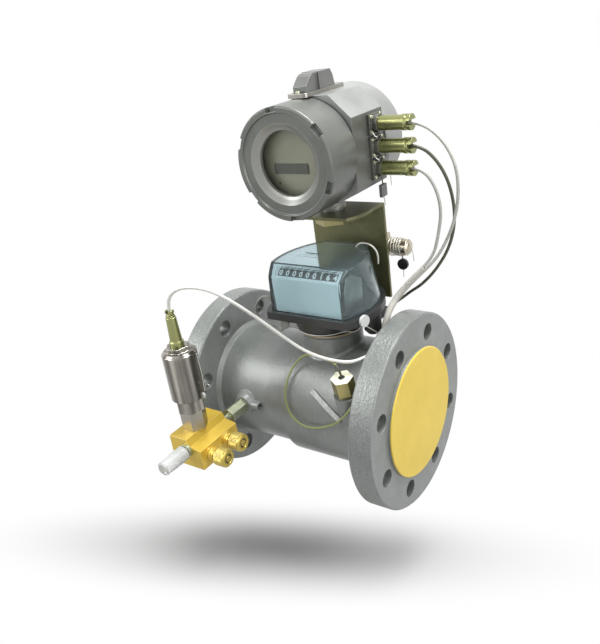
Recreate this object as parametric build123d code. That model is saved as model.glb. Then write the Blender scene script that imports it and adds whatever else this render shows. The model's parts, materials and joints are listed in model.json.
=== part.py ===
from build123d import *
import math
import os

# A turbine gas meter, 80 mm nominal bore, with its mechanical index, volume corrector,
# pressure sensor on a valve block, temperature sensor and leads.
# Millimetres. The origin is the centre of the inlet raised face, on the pipe axis.
# X runs with the flow, minus Y is the front, Z is up.

# Meter body
face_to_face = 240.0
raised_face_height = 2.0
raised_face_radius = 66.5
flange_radius = 100.0
flange_thickness = 24.0
flange_edge = 1.5
bolt_circle_radius = 80.0
bolt_hole_radius = 9.0
bolt_count = 8
inlet_pipe_radius = 61.0
outlet_pipe_radius = 66.0
seam_x = 114.0
seam_groove = 1.6
pipe_root = 4.0
inlet_wall = 7.0
cartridge_bore_radius = inlet_pipe_radius - inlet_wall
cartridge_end_x = 178.0
cartridge_stop_depth = 2.0
cartridge_stop_radius = cartridge_bore_radius - cartridge_stop_depth
cartridge_stop_width = 5.0
outlet_wall = 9.0
outlet_chamber_radius = outlet_pipe_radius - outlet_wall
outlet_chamber_end_x = 206.0
outlet_taper_end_x = 222.0
outlet_bore_radius = 40.0
neck_x = 147.0
neck_radius = 30.5
neck_rise = 20.5
neck_top_z = outlet_pipe_radius + neck_rise
neck_lip_radius = 33.0
neck_lip_height = 3.5
neck_bore_radius = 24.0
neck_bore_depth = 18.5
neck_floor_z = neck_top_z - neck_bore_depth
neck_root_fillet = 5.0
arrow_start_x = 52.0
arrow_length = 30.0
arrow_half_width = 5.0
arrow_height = 0.7

# Protection covers over the raised faces
cover_thickness = 1.5

# Flow cartridge: straightener, turbine, bearing housing
cartridge_clearance = 0.05
flow_wall_radius = 40.0
flow_hub_radius = 26.0
nose_start_x = 8.0
nose_end_x = 32.0
vane_end_x = 74.0
vane_count = 12
vane_thickness = 1.6
straightener_end_x = 76.0
rotor_start_x = 96.0
rotor_length = 16.0
rotor_gap = 2.0
blade_count = 12
blade_thickness = 1.4
blade_tip_clearance = 0.5
blade_lead = 230.0
housing_hub_end_x = 162.0
tail_end_x = 176.0
rib_count = 5
rib_thickness = 4.0
gear_chamber_start_x = 134.0
gear_chamber_end_x = 160.0
gear_chamber_radius = 22.0
rotor_shaft_radius = 4.0
shaft_clearance = 0.05
bearing_radius = 9.0
bearing_width = 7.0
front_bearing_x = 84.0
rear_bearing_x = 120.0

# Worm gears: a single-start worm on a wheel of twenty teeth, used twice
worm_module = 0.75
worm_pitch_radius = 4.0
worm_length = 14.0
worm_wheel_teeth = 20
worm_wheel_width = 6.0
worm_turns = 4
transfer_shaft_radius = 2.5
spur_module = 0.95
spur_teeth = 20
spur_width = 2.4

# Magnetic coupling through the separating cup
cup_radius = 7.0
cup_wall = 1.0
cup_height = 18.0
cup_flange_radius = 11.0
cup_flange_thickness = 3.0
drive_magnet_radius = 5.5
drive_magnet_length = 11.0
follower_radius = 11.5
follower_length = 14.0
follower_web = 2.5
coupling_gap = 0.6

# Index head
index_skirt_height = 16.5
index_rim_height = 8.0
index_cover_height = 47.0
index_base_bottom_z = neck_top_z
index_rim_bottom_z = index_base_bottom_z + index_skirt_height
index_base_top_z = index_rim_bottom_z + index_rim_height
index_top_z = index_base_top_z + index_cover_height
index_floor_thickness = 11.0
index_floor_z = index_base_top_z - index_floor_thickness
index_skirt_top_radius = 39.0
index_skirt_bottom_radius = 35.5
index_skirt_lip = 0.8
index_front_y = -41.0
index_half_width = 42.0
index_side_half_width = 52.0
index_side_y = 8.0
index_rear_y = 46.0
index_rear_half_width = 28.0
index_fold_drop = 11.0
index_fold_z = index_top_z - index_fold_drop
index_lean = 13.0
index_top_front_y = index_front_y + index_lean
index_top_inset = 5.0
index_rim_overhang = 4.0
cover_wall = 2.5
lid_recess_length = 30.0
lid_recess_width = 11.0
lid_recess_depth = 1.2
lid_recess_x = neck_x - 16.0
lid_recess_y = -1.5
faceplate_thickness = 1.0
faceplate_gap = 0.3
number_window_width = 71.0
number_window_height = 9.0
number_wheel_count = 9
number_wheel_radius = 10.5
number_wheel_pitch = 7.8
number_wheel_width = 7.2
number_axle_radius = 2.5
number_axle_height = 30.5
number_axis_z = index_base_top_z + number_axle_height
spur_clearance = 1.0
frame_plate = 1.5
frame_side_gap = 0.8
frame_depth = 10.0

# Pulse connector at the right of the index base
connector_offset = 49.0
connector_x = neck_x + connector_offset
connector_y = -2.0
connector_radius = 8.8
connector_length = 20.0
connector_bottom_chamfer = 4.0
connector_outlet_radius = 4.2
connector_outlet_drop = 8.5
connector_outlet_z = index_rim_bottom_z - connector_outlet_drop
connector_outlet_end_y = 27.0

# Bracket behind the index
bracket_sheet = 3.0
bracket_gap = 4.0
bracket_front_y = index_rear_y + bracket_gap
bracket_half_width = 42.7
bracket_drop = 5.5
bracket_bottom_z = index_rim_bottom_z - bracket_drop
bracket_height = 100.5
shelf_top_z = bracket_bottom_z + bracket_height
shelf_front_y = -4.0
shelf_front_half_width = 33.0
bracket_bend_radius = 2.9
bracket_bolt_x = 20.0
bracket_bolt_rise = 7.5
bracket_bolt_z = bracket_bottom_z + bracket_bolt_rise
bracket_bolt_radius = 2.95
bracket_bolt_depth = 10.0
bracket_bolt_flats = 10.0
bracket_bolt_head = 4.0
bolt_clearance = 0.35

# Volume corrector
corrector_x = neck_x + 0.3
corrector_radius = 47.0
foot_height = 12.2
corrector_z = shelf_top_z + foot_height + corrector_radius
corrector_front_seam_y = -3.0
corrector_rear_seam_y = 55.0
pad_reach = 47.2
pad_x = corrector_x + pad_reach
pad_top_z = corrector_z + 30.8
pad_bottom_z = corrector_z - 35.2
crown_rise = 4.0
crown_z = corrector_z + corrector_radius + crown_rise
crown_half_width = 26.0
crown_left_half_width = 13.0
spigot_clearance = 5.7
spigot_length = 22.0
electronics_bore_radius = 39.0
thread_clearance = 0.3
front_cover_radius = 50.5
spigot_radius = front_cover_radius - spigot_clearance
front_cover_front_y = -45.0
front_rim_inner_radius = 45.0
front_bevel_radius = 36.0
window_radius = 29.4
window_recess = 6.5
front_wall = 14.0
notch_count = 6
notch_depth = 4.0
notch_width = 11.5
notch_angle = 37.0
glass_radius = 33.0
glass_thickness = 4.0
plate_thickness = 2.0
plate_radius = 42.0
lcd_width = 36.5
lcd_height = 9.5
lcd_x = corrector_x - 3.8
lcd_z = corrector_z - 6.6
lcd_thickness = 0.6
rear_cover_radius = 51.5
rear_cover_end_y = 86.0
rear_wall = 5.0
foot_y = 25.0
foot_radius = 12.0
foot_flare = 5.0
foot_thread_radius = 9.0
foot_hole_clearance = 0.3
foot_nut_flats = 32.0
foot_nut_height = 10.0

# Service connector on the crown of the corrector
service_plate_thickness = 3.6
service_plate_front_y = -12.0
service_plate_rear_y = 55.0
service_plate_width = 21.0
service_cap_rear_y = 39.5
service_cap_split_y = 14.0
service_cap_front_y = -5.0
service_cap_height = 14.5
service_cap_half_width = 7.0

# Sockets, plugs and their nuts
plug_count = 3
plug_pitch = 20.3
plug_top_z = corrector_z + 19.3
plug_y = 35.0
socket_width = 21.5
socket_height = 18.5
socket_flange = 3.0
socket_coupling_radius = 8.3
socket_coupling_length = 5.0
plug_radius = 6.6
plug_length = 23.0
plug_nut_radius = 7.2
plug_nut_length = 8.5
plug_slot = 4.0

# Service connector behind the bracket and the seal tags
back_connector_start_x = 180.0
back_connector_end_x = 207.0
back_connector_radius = 8.3
back_connector_collar = 1.5
back_connector_rise = 50.0
back_connector_y = bracket_front_y + bracket_sheet + 13.0
back_tag_setback = 9.0
back_connector_z = bracket_bottom_z + back_connector_rise
back_lug_half_height = 11.0
back_lug_thickness = 4.0
index_tag_y = -27.5
index_tag_z = index_rim_bottom_z + 4.5
index_tag_radius = 5.8
index_tag_thickness = 2.6
back_tag_radius = 5.8
flat_tag_half_width = 5.0
tag_thickness = 3.0
tag_wire_radius = 0.6
tag_wire_length = 5.0
tag_height = 11.5

# Pressure tapping and valve block
tapping_x = 64.5
tapping_z = 6.0
tapping_boss_radius = 12.0
tapping_boss_reach = 6.0
tapping_boss_front_y = -inlet_pipe_radius - tapping_boss_reach
nipple_flats = 14.0
nipple_hex_length = 24.0
nipple_hex_end_y = tapping_boss_front_y - nipple_hex_length
nipple_radius = 3.6
nipple_neck_length = 9.0
nipple_bore_radius = 1.6
side_stub_radius = 4.6
side_stub_y = tapping_boss_front_y + 5.0
side_stub_end_x = 84.0
block_length = 54.5
block_rear_y = nipple_hex_end_y - nipple_neck_length
block_front_y = block_rear_y - block_length
block_left_x = 43.5
block_right_x = 82.3
block_top_z = 17.5
block_top_right_x = 65.6
block_slope_foot_x = 69.0
block_slope_foot_z = 10.4
block_shelf_z = 8.1
block_bottom_z = -13.0
block_bore_radius = 3.0
knob_1_y = block_rear_y - 41.5
knob_1_z = -1.5
knob_2_y = block_rear_y - 17.5
knob_2_z = 1.0
knob_radius = 8.8
knob_bonnet_radius = 7.0
knob_bonnet_length = 7.5
knob_gap = 1.2
knob_length = 14.0
knob_start_x = block_right_x + knob_bonnet_length + knob_gap
spindle_radius = 3.0
spindle_socket_depth = 12.0
test_nipple_radius = 5.0
test_nipple_length = 17.0
test_cap_gap = 5.5
test_cap_length = 29.0
test_cap_radius = 7.6
test_cap_start_y = block_front_y - test_cap_gap

# Pressure sensor
sensor_x = 57.0
sensor_y = block_rear_y - 30.0
adapter_flats = 22.5
adapter_top_z = block_top_z + 20.5
sensor_hex_flats = 25.0
sensor_hex_top_z = adapter_top_z + 14.0
sensor_radius = 17.0
sensor_can_length = 51.0
sensor_top_z = sensor_hex_top_z + sensor_can_length
sensor_cap_flats = 20.0
sensor_cap_top_z = sensor_top_z + 4.5
sensor_plug_radius = 5.9
sensor_plug_taper = 0.9
sensor_plug_top_z = sensor_cap_top_z + 29.5
sensor_nut_radius = 4.3
sensor_nut_top_z = sensor_plug_top_z + 7.0

# Temperature fitting on its inclined boss
thermo_reach = 9.0
thermo_angle = 36.87
thermo_setback = 20.1
thermo_x = face_to_face - raised_face_height - flange_thickness - thermo_setback
thermo_y = -(outlet_pipe_radius + thermo_reach) * math.cos(math.radians(thermo_angle))
thermo_z = (outlet_pipe_radius + thermo_reach) * math.sin(math.radians(thermo_angle))
thermo_tilt = 12.0
thermo_boss_radius = 12.0
thermo_flats = 19.0
thermo_collar = 3.0
thermo_hex_height = 17.0
probe_radius = 3.0
probe_depth = 56.0

ABOVE = (Align.CENTER, Align.CENTER, Align.MIN)


def rod(start, direction, radius, length):
    """A round bar that begins at start and runs along direction."""
    return Plane(origin=start, z_dir=direction) * Cylinder(radius, length, align=ABOVE)


def pipe(start, direction, outer, inner, length):
    """A round tube that begins at start and runs along direction."""
    return rod(start, direction, outer, length) - rod(start, direction, inner, length)


def hex_bar(start, direction, flats, length, turn=0.0):
    """A hexagon bar, measured across its flats, turned about its axis."""
    section = Rotation(0, 0, turn) * RegularPolygon(flats / 2, 6, major_radius=False)
    return Plane(origin=start, z_dir=direction) * extrude(section, length)


def block(x0, x1, y0, y1, z0, z1):
    """A box between two corners."""
    middle = Pos((x0 + x1) / 2, (y0 + y1) / 2, (z0 + z1) / 2)
    return middle * Box(x1 - x0, y1 - y0, z1 - z0)


def turned(origin, direction, outline):
    """A turned piece: outline lists (radius, height) points round its half section."""
    half = Plane.XZ * make_face(Polyline(outline, close=True))
    return Plane(origin=origin, z_dir=direction) * revolve(half, Axis.Z)


def gear_outline(teeth, module, root=1.15, tip=1.0):
    """A toothed outline with straight-sided teeth, backlash taken from each tooth."""
    pitch_radius = teeth * module / 2
    step = 360 / teeth
    points = []
    for tooth in range(teeth):
        for radius, angle in (
            (pitch_radius - root * module, -0.30),
            (pitch_radius + tip * module, -0.10),
            (pitch_radius + tip * module, 0.10),
            (pitch_radius - root * module, 0.30),
        ):
            turn = math.radians((tooth + angle) * step)
            points.append((radius * math.cos(turn), radius * math.sin(turn)))
    return points


def save(node, shape):
    """Writes one node of the model."""
    shape.label = node
    export_step(shape, f"parts/{node}.step")


# Places worked out from the sizes above
outlet_inner_x = face_to_face - raised_face_height - flange_thickness
worm_wheel_radius = worm_module * worm_wheel_teeth / 2
gear_distance = worm_pitch_radius + worm_wheel_radius
transfer_y = -gear_distance
counter_y = transfer_y - gear_distance
counter_z = number_axis_z - spur_module * spur_teeth
worm_lead = math.pi * worm_module
cup_top_z = neck_floor_z + cup_flange_thickness + cup_height
number_side_x = neck_x + (number_wheel_count - 1) / 2 * number_wheel_pitch + number_wheel_width / 2
spur_x = number_side_x + frame_side_gap / 2
frame_right_x = spur_x + spur_width + frame_side_gap
frame_left_x = 2 * neck_x - number_side_x - frame_side_gap


# The meter body is one casting
def flange_holes(start_x):
    """Eight bolt holes, straddling the vertical."""
    holes = []
    for hole in range(bolt_count):
        angle = math.radians(360 / bolt_count * (hole + 0.5))
        y = bolt_circle_radius * math.sin(angle)
        z = bolt_circle_radius * math.cos(angle)
        holes.append(rod((start_x - 1, y, z), (1, 0, 0), bolt_hole_radius, flange_thickness + 2))
    return holes


def body_shell():
    """Both flanges and the pipe between them, turned about the flow."""
    inner_x = raised_face_height + flange_thickness
    edge = flange_radius - flange_edge
    outline = [
        (cartridge_bore_radius, 0),
        (raised_face_radius, 0),
        (raised_face_radius, raised_face_height),
        (edge, raised_face_height),
        (flange_radius, raised_face_height + flange_edge),
        (flange_radius, inner_x - flange_edge),
        (edge, inner_x),
        (inlet_pipe_radius + pipe_root, inner_x),
        (inlet_pipe_radius, inner_x + pipe_root),
        (inlet_pipe_radius, seam_x - seam_groove),
        (inlet_pipe_radius - seam_groove, seam_x),
        (inlet_pipe_radius, seam_x + seam_groove),
        (outlet_pipe_radius - 1.5, seam_x + seam_groove),
        (outlet_pipe_radius, seam_x + seam_groove + 3.5),
        (outlet_pipe_radius, outlet_inner_x - pipe_root),
        (outlet_pipe_radius + pipe_root, outlet_inner_x),
        (edge, outlet_inner_x),
        (flange_radius, outlet_inner_x + flange_edge),
        (flange_radius, face_to_face - raised_face_height - flange_edge),
        (edge, face_to_face - raised_face_height),
        (raised_face_radius, face_to_face - raised_face_height),
        (raised_face_radius, face_to_face),
        (outlet_bore_radius, face_to_face),
        (outlet_bore_radius, outlet_taper_end_x),
        (outlet_chamber_radius, outlet_chamber_end_x),
        (outlet_chamber_radius, cartridge_end_x + cartridge_stop_width),
        (cartridge_stop_radius, cartridge_end_x + cartridge_stop_width),
        (cartridge_stop_radius, cartridge_end_x),
        (cartridge_bore_radius, cartridge_end_x),
    ]
    return turned((0, 0, 0), (1, 0, 0), outline)


def body_bore():
    """The room inside the casting, to trim bosses that start in the wall."""
    outline = [
        (0, -1),
        (cartridge_bore_radius, -1),
        (cartridge_bore_radius, cartridge_end_x),
        (cartridge_stop_radius, cartridge_end_x),
        (cartridge_stop_radius, cartridge_end_x + cartridge_stop_width),
        (outlet_chamber_radius, cartridge_end_x + cartridge_stop_width),
        (outlet_chamber_radius, outlet_chamber_end_x),
        (outlet_bore_radius, outlet_taper_end_x),
        (outlet_bore_radius, face_to_face + 1),
        (0, face_to_face + 1),
    ]
    return turned((0, 0, 0), (1, 0, 0), outline)


def thermo_axis():
    """The direction that the temperature boss points, forward of straight up."""
    tilt = math.radians(thermo_tilt)
    return (0, -math.sin(tilt), math.cos(tilt))


def along_thermo(height):
    """A point on the temperature boss axis, height above the boss rim."""
    axis = thermo_axis()
    return (thermo_x, thermo_y + axis[1] * height, thermo_z + axis[2] * height)


def neck_saddle():
    """The outlet pipe with the neck growing out of it through a fillet."""
    step_x = seam_x + seam_groove
    run = outlet_inner_x - pipe_root - step_x
    plain = rod((step_x - neck_radius, 0, 0), (1, 0, 0), outlet_pipe_radius, run + neck_radius)
    height = neck_top_z - outlet_pipe_radius / 2
    saddle = plain + rod((neck_x, 0, outlet_pipe_radius / 2), (0, 0, 1), neck_radius, height)
    curves = saddle.edges().filter_by(GeomType.BSPLINE)
    root = [edge for edge in curves if edge.center().Z > outlet_pipe_radius * 0.68]
    saddle = fillet(root, neck_root_fillet)
    past_step = pipe((0, 0, 0), (1, 0, 0), flange_radius, inlet_pipe_radius - seam_groove, step_x)
    low = block(0, step_x, -flange_radius, flange_radius, -flange_radius, outlet_pipe_radius + 4)
    return saddle - (past_step & low)


def meter_body():
    lip_z = neck_top_z - neck_lip_height
    lip = turned((neck_x, 0, lip_z), (0, 0, 1), [
        (neck_radius - 2, -3),
        (neck_radius, -2.5),
        (neck_lip_radius, 0),
        (neck_lip_radius, neck_lip_height),
        (neck_radius - 2, neck_lip_height),
    ])
    shell = body_shell() + neck_saddle()
    thermo_boss = rod(along_thermo(-0.7 * probe_depth), thermo_axis(), thermo_boss_radius, 0.7 * probe_depth)
    boss_length = -tapping_boss_front_y - cartridge_bore_radius + 2
    tapping_boss = turned((tapping_x, tapping_boss_front_y, tapping_z), (0, 1, 0), [
        (0, 0),
        (tapping_boss_radius - 2, 0),
        (tapping_boss_radius, tapping_boss_reach - 1),
        (tapping_boss_radius + 2, tapping_boss_reach + 2),
        (tapping_boss_radius + 2, boss_length),
        (0, boss_length),
    ])
    stub_length = side_stub_end_x - tapping_x
    stub = rod((tapping_x, side_stub_y, tapping_z), (1, 0, 0), side_stub_radius, stub_length)
    body = shell + lip + thermo_boss + tapping_boss + stub
    body = body - body_bore()
    body = body - rod((neck_x, 0, neck_floor_z), (0, 0, 1), neck_bore_radius, neck_top_z)
    tunnel = transfer_shaft_radius + 2
    body = body - rod((neck_x, transfer_y, 0), (0, 0, 1), tunnel, neck_floor_z + 1)
    probe_hole = along_thermo(-probe_depth - 1)
    body = body - rod(probe_hole, thermo_axis(), probe_radius + shaft_clearance, probe_depth + 2)
    body = body - rod((tapping_x, 0, tapping_z), (0, -1, 0), block_bore_radius, -tapping_boss_front_y + 1)
    side_hole = rod((side_stub_end_x - 8, side_stub_y, tapping_z), (1, 0, 0), side_stub_radius / 2, 9)
    body = body - side_hole
    for hole in flange_holes(raised_face_height) + flange_holes(outlet_inner_x):
        body = body - hole
    return body + flow_arrow()


def flow_arrow():
    """A raised arrow cast on top of the inlet side, pointing with the flow."""
    crown = inlet_pipe_radius
    tip_x = arrow_start_x + arrow_length
    head_x = tip_x - 0.4 * arrow_length
    stem = 0.32 * arrow_half_width
    points = [
        (arrow_start_x, -stem), (head_x, -stem), (head_x, -arrow_half_width), (tip_x, 0),
        (head_x, arrow_half_width), (head_x, stem), (arrow_start_x, stem),
    ]
    prism = Pos(0, 0, crown / 2) * extrude(make_face(Polyline(points, close=True)), crown)
    band_start = (arrow_start_x - 1, 0, 0)
    band = pipe(band_start, (1, 0, 0), crown + arrow_height, crown - 2 * arrow_height, arrow_length + 2)
    return prism & band


def protection_cover(face_x, direction):
    """A disc with a low rim that lies on a raised face and closes its opening."""
    return turned((face_x, 0, 0), direction, [
        (0, 0),
        (raised_face_radius - 0.3, 0),
        (raised_face_radius - 0.3, cover_thickness * 0.6),
        (raised_face_radius - 1.0, cover_thickness),
        (0, cover_thickness),
    ])


# The flow cartridge slides into the body from the inlet
def flow_straightener():
    sleeve = pipe(
        (0, 0, 0), (1, 0, 0), cartridge_bore_radius - cartridge_clearance, flow_wall_radius,
        straightener_end_x,
    )
    hub_end = rotor_start_x - rotor_gap
    tip = (nose_start_x, 0)
    shoulder = (nose_end_x, flow_hub_radius)
    nose = Spline([tip, (nose_start_x + 5, flow_hub_radius * 0.62), shoulder], tangents=[(0, 1), (1, 0)])
    sides = Polyline([shoulder, (hub_end, flow_hub_radius), (hub_end, 0), tip])
    hub = revolve(make_face([nose, sides]), Axis.X)
    pocket = rod((front_bearing_x - bearing_width / 2, 0, 0), (1, 0, 0), bearing_radius, hub_end)
    cartridge = sleeve + hub
    for vane in range(vane_count):
        plate = block(
            nose_end_x - 4, vane_end_x, -vane_thickness / 2, vane_thickness / 2,
            flow_hub_radius - 2, flow_wall_radius + 2,
        )
        cartridge = cartridge + Rotation(360 / vane_count * vane, 0, 0) * plate
    return cartridge - pocket


def turbine_blade():
    """One blade, twisted so that every radius meets the gas on the same lead."""
    sections = []
    for radius in (flow_hub_radius - 1.5, (flow_hub_radius + flow_wall_radius) / 2,
                   flow_wall_radius + 1):
        slope = math.degrees(math.atan(2 * math.pi * radius / blade_lead))
        chord = (rotor_length - 2.5) / math.cos(math.radians(slope))
        plane = Plane(origin=(rotor_start_x + rotor_length / 2, 0, radius), x_dir=(1, 0, 0), z_dir=(0, 0, 1))
        sections.append(plane * Rotation(0, 0, slope) * Rectangle(chord, blade_thickness))
    return loft(sections)


def turbine_rotor():
    start = rotor_start_x
    hub = turned((start, 0, 0), (1, 0, 0), [
        (rotor_shaft_radius, 0),
        (rotor_shaft_radius + 6, 0),
        (flow_hub_radius - 4, 2),
        (flow_hub_radius, 2),
        (flow_hub_radius, rotor_length - 2),
        (flow_hub_radius - 4, rotor_length - 2),
        (rotor_shaft_radius + 6, rotor_length),
        (rotor_shaft_radius, rotor_length),
    ])
    blade = turbine_blade()
    blades = [Rotation(360 / blade_count * index, 0, 0) * blade for index in range(blade_count)]
    swept = pipe((start - 5, 0, 0), (1, 0, 0), flow_wall_radius - blade_tip_clearance, rotor_shaft_radius,
                 rotor_length + 10)
    return (hub + blades) & swept


def worm_thread(origin, direction, wheel_side):
    """A right-hand worm from origin; halfway along, its thread faces wheel_side."""
    root_radius = worm_pitch_radius - 1.2 * worm_module
    path = Helix(worm_lead, worm_turns * worm_lead, root_radius)
    half_tip = worm_lead / 2 * 0.26
    half_root = worm_lead / 2 * 0.58
    height = 2.0 * worm_module
    flank = [(-0.3, -half_root), (height, -half_tip), (height, half_tip), (-0.3, half_root)]
    start = Plane(origin=path @ 0, x_dir=(1, 0, 0), z_dir=path % 0)
    thread = sweep(start * make_face(Polyline(flank, close=True)), path, is_frenet=True)
    core = Cylinder(root_radius, worm_length, align=ABOVE)
    worm = core + Pos(0, 0, (worm_length - worm_turns * worm_lead) / 2) * thread
    return Plane(origin=origin, x_dir=wheel_side, z_dir=direction) * worm


def rotor_shaft():
    start = front_bearing_x - bearing_width / 2
    worm_start = neck_x - worm_length / 2
    shaft = rod((start, 0, 0), (1, 0, 0), rotor_shaft_radius - shaft_clearance, worm_start - start)
    return shaft + worm_thread((worm_start, 0, 0), (1, 0, 0), (0, -1, 0))


def rotor_bearings():
    bearings = []
    for middle in (front_bearing_x, rear_bearing_x):
        bearings.append(pipe(
            (middle - bearing_width / 2, 0, 0), (1, 0, 0), bearing_radius, rotor_shaft_radius, bearing_width,
        ))
    return Compound(children=bearings)


def measuring_sleeve():
    """The bearing housing behind the turbine, held in its sleeve by outlet ribs."""
    sleeve = pipe(
        (straightener_end_x, 0, 0), (1, 0, 0), cartridge_bore_radius - cartridge_clearance, flow_wall_radius,
        cartridge_end_x - straightener_end_x - cartridge_clearance,
    )
    hub_start = rotor_start_x + rotor_length + rotor_gap
    tail = [
        (rotor_shaft_radius + 1, hub_start),
        (flow_hub_radius, hub_start),
        (flow_hub_radius, housing_hub_end_x),
        (flow_hub_radius * 0.8, housing_hub_end_x + 7),
        (flow_hub_radius * 0.35, tail_end_x),
        (0, tail_end_x),
        (0, gear_chamber_end_x),
        (gear_chamber_radius, gear_chamber_end_x),
        (gear_chamber_radius, gear_chamber_start_x),
        (rotor_shaft_radius + 1, gear_chamber_start_x),
    ]
    hub = turned((0, 0, 0), (1, 0, 0), tail)
    bearing_seat = rod((rear_bearing_x - bearing_width / 2, 0, 0), (1, 0, 0), bearing_radius, bearing_width)
    housing = sleeve + (hub - bearing_seat)
    for rib in range(rib_count):
        plate = block(
            gear_chamber_start_x - 8, housing_hub_end_x, -rib_thickness / 2, rib_thickness / 2,
            flow_hub_radius - 1, flow_wall_radius + 2,
        )
        housing = housing + Rotation(360 / (rib_count + 1) * (rib + 1), 0, 0) * plate
    tower = transfer_shaft_radius + 3
    housing = housing + block(
        neck_x - 2 * tower, neck_x + 2 * tower, transfer_y - tower, transfer_y + tower,
        gear_chamber_radius - 3, flow_wall_radius + 2,
    )
    chamber = rod((gear_chamber_start_x, 0, 0), (1, 0, 0), gear_chamber_radius,
                  gear_chamber_end_x - gear_chamber_start_x)
    tunnel_radius = transfer_shaft_radius + shaft_clearance
    tunnel = rod((neck_x, transfer_y, 0), (0, 0, 1), tunnel_radius, cartridge_bore_radius)
    tapping = rod((tapping_x, 0, tapping_z), (0, -1, 0), block_bore_radius, cartridge_bore_radius)
    return housing - chamber - tunnel - tapping


def worm_wheel():
    """Twenty teeth tilted to the worm's lead, a gap facing the worm at mid width."""
    outline = gear_outline(worm_wheel_teeth, worm_module)
    lead_angle = worm_lead / (2 * math.pi * worm_pitch_radius)
    twist = math.degrees(lead_angle * worm_wheel_width / worm_wheel_radius)
    half_step = 180 / worm_wheel_teeth
    lower = Rotation(0, 0, half_step - twist / 2) * make_face(Polyline(outline, close=True))
    upper = Pos(0, 0, worm_wheel_width) * Rotation(0, 0, twist) * lower
    return loft([lower, upper], ruled=True)


def transfer_shaft():
    """Worm wheel below, shaft through the neck wall, drive magnet inside the cup."""
    wheel = Pos(neck_x, transfer_y, -worm_wheel_width / 2) * worm_wheel()
    magnet_z = neck_floor_z + cup_flange_thickness
    bottom_z = -gear_chamber_radius / 2
    shaft = rod((neck_x, transfer_y, bottom_z), (0, 0, 1), transfer_shaft_radius, magnet_z - bottom_z)
    magnet = rod((neck_x, transfer_y, magnet_z), (0, 0, 1), drive_magnet_radius, drive_magnet_length)
    return wheel + shaft + magnet


def separating_cup():
    outline = [
        (transfer_shaft_radius + shaft_clearance, 0),
        (cup_flange_radius, 0),
        (cup_flange_radius, cup_flange_thickness),
        (cup_radius, cup_flange_thickness),
        (cup_radius, cup_flange_thickness + cup_height),
        (0, cup_flange_thickness + cup_height),
        (0, cup_flange_thickness + cup_height - cup_wall),
        (cup_radius - cup_wall, cup_flange_thickness + cup_height - cup_wall),
        (cup_radius - cup_wall, 2.0),
        (transfer_shaft_radius + shaft_clearance, 2.0),
    ]
    return turned((neck_x, transfer_y, neck_floor_z), (0, 0, 1), outline)


# The index head stands on the neck
def input_shaft():
    """Follower magnet round the cup, and the worm that drives the counter shaft."""
    web_z = cup_top_z + coupling_gap
    magnet = pipe(
        (neck_x, transfer_y, web_z - follower_length), (0, 0, 1), follower_radius, cup_radius + coupling_gap,
        follower_length,
    )
    web = rod((neck_x, transfer_y, web_z), (0, 0, 1), follower_radius, follower_web)
    worm_z = counter_z - worm_length / 2
    lower = rod((neck_x, transfer_y, web_z), (0, 0, 1), transfer_shaft_radius, worm_z - web_z)
    upper = rod((neck_x, transfer_y, worm_z + worm_length - 0.5), (0, 0, 1), transfer_shaft_radius, 4.5)
    return magnet + web + lower + upper + worm_thread((neck_x, transfer_y, worm_z), (0, 0, 1), (0, -1, 0))


def counter_shaft():
    """Worm wheel in the middle and a spur gear at the right-hand end."""
    wheel = Plane(origin=(neck_x - worm_wheel_width / 2, counter_y, counter_z), x_dir=(0, 1, 0),
                  z_dir=(1, 0, 0)) * worm_wheel()
    start = frame_left_x - frame_plate
    length = frame_right_x + frame_plate - start
    shaft = rod((start, counter_y, counter_z), (1, 0, 0), transfer_shaft_radius, length)
    spur = extrude(make_face(Polyline(gear_outline(spur_teeth, spur_module), close=True)), spur_width)
    gear = Plane(origin=(spur_x, counter_y, counter_z), x_dir=(0, 1, 0), z_dir=(1, 0, 0)) * spur
    return shaft + wheel + gear


def number_wheel(index):
    """A digit drum on the axle; the first carries the spur gear that drives the row."""
    middle = neck_x + ((number_wheel_count - 1) / 2 - index) * number_wheel_pitch
    start = middle - number_wheel_width / 2
    drum = turned((start, counter_y, number_axis_z), (1, 0, 0), [
        (number_axle_radius + shaft_clearance, 0),
        (number_wheel_radius - 0.4, 0),
        (number_wheel_radius, 0.4),
        (number_wheel_radius, number_wheel_width - 0.4),
        (number_wheel_radius - 0.4, number_wheel_width),
        (number_axle_radius + shaft_clearance, number_wheel_width),
    ])
    if index > 0:
        return drum
    spur = extrude(make_face(Polyline(gear_outline(spur_teeth, spur_module), close=True)), spur_width)
    turn = Rotation(0, 0, 180 / spur_teeth)
    gear = Plane(origin=(spur_x, counter_y, number_axis_z), x_dir=(0, 1, 0), z_dir=(1, 0, 0)) * turn * spur
    hub = rod((start, counter_y, number_axis_z), (1, 0, 0), number_wheel_radius * 0.6, spur_x - start + 0.1)
    bore_radius = number_axle_radius + shaft_clearance
    bore = rod((start, counter_y, number_axis_z), (1, 0, 0), bore_radius, spur_x + spur_width - start + 1)
    return drum + hub + gear - bore


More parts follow.
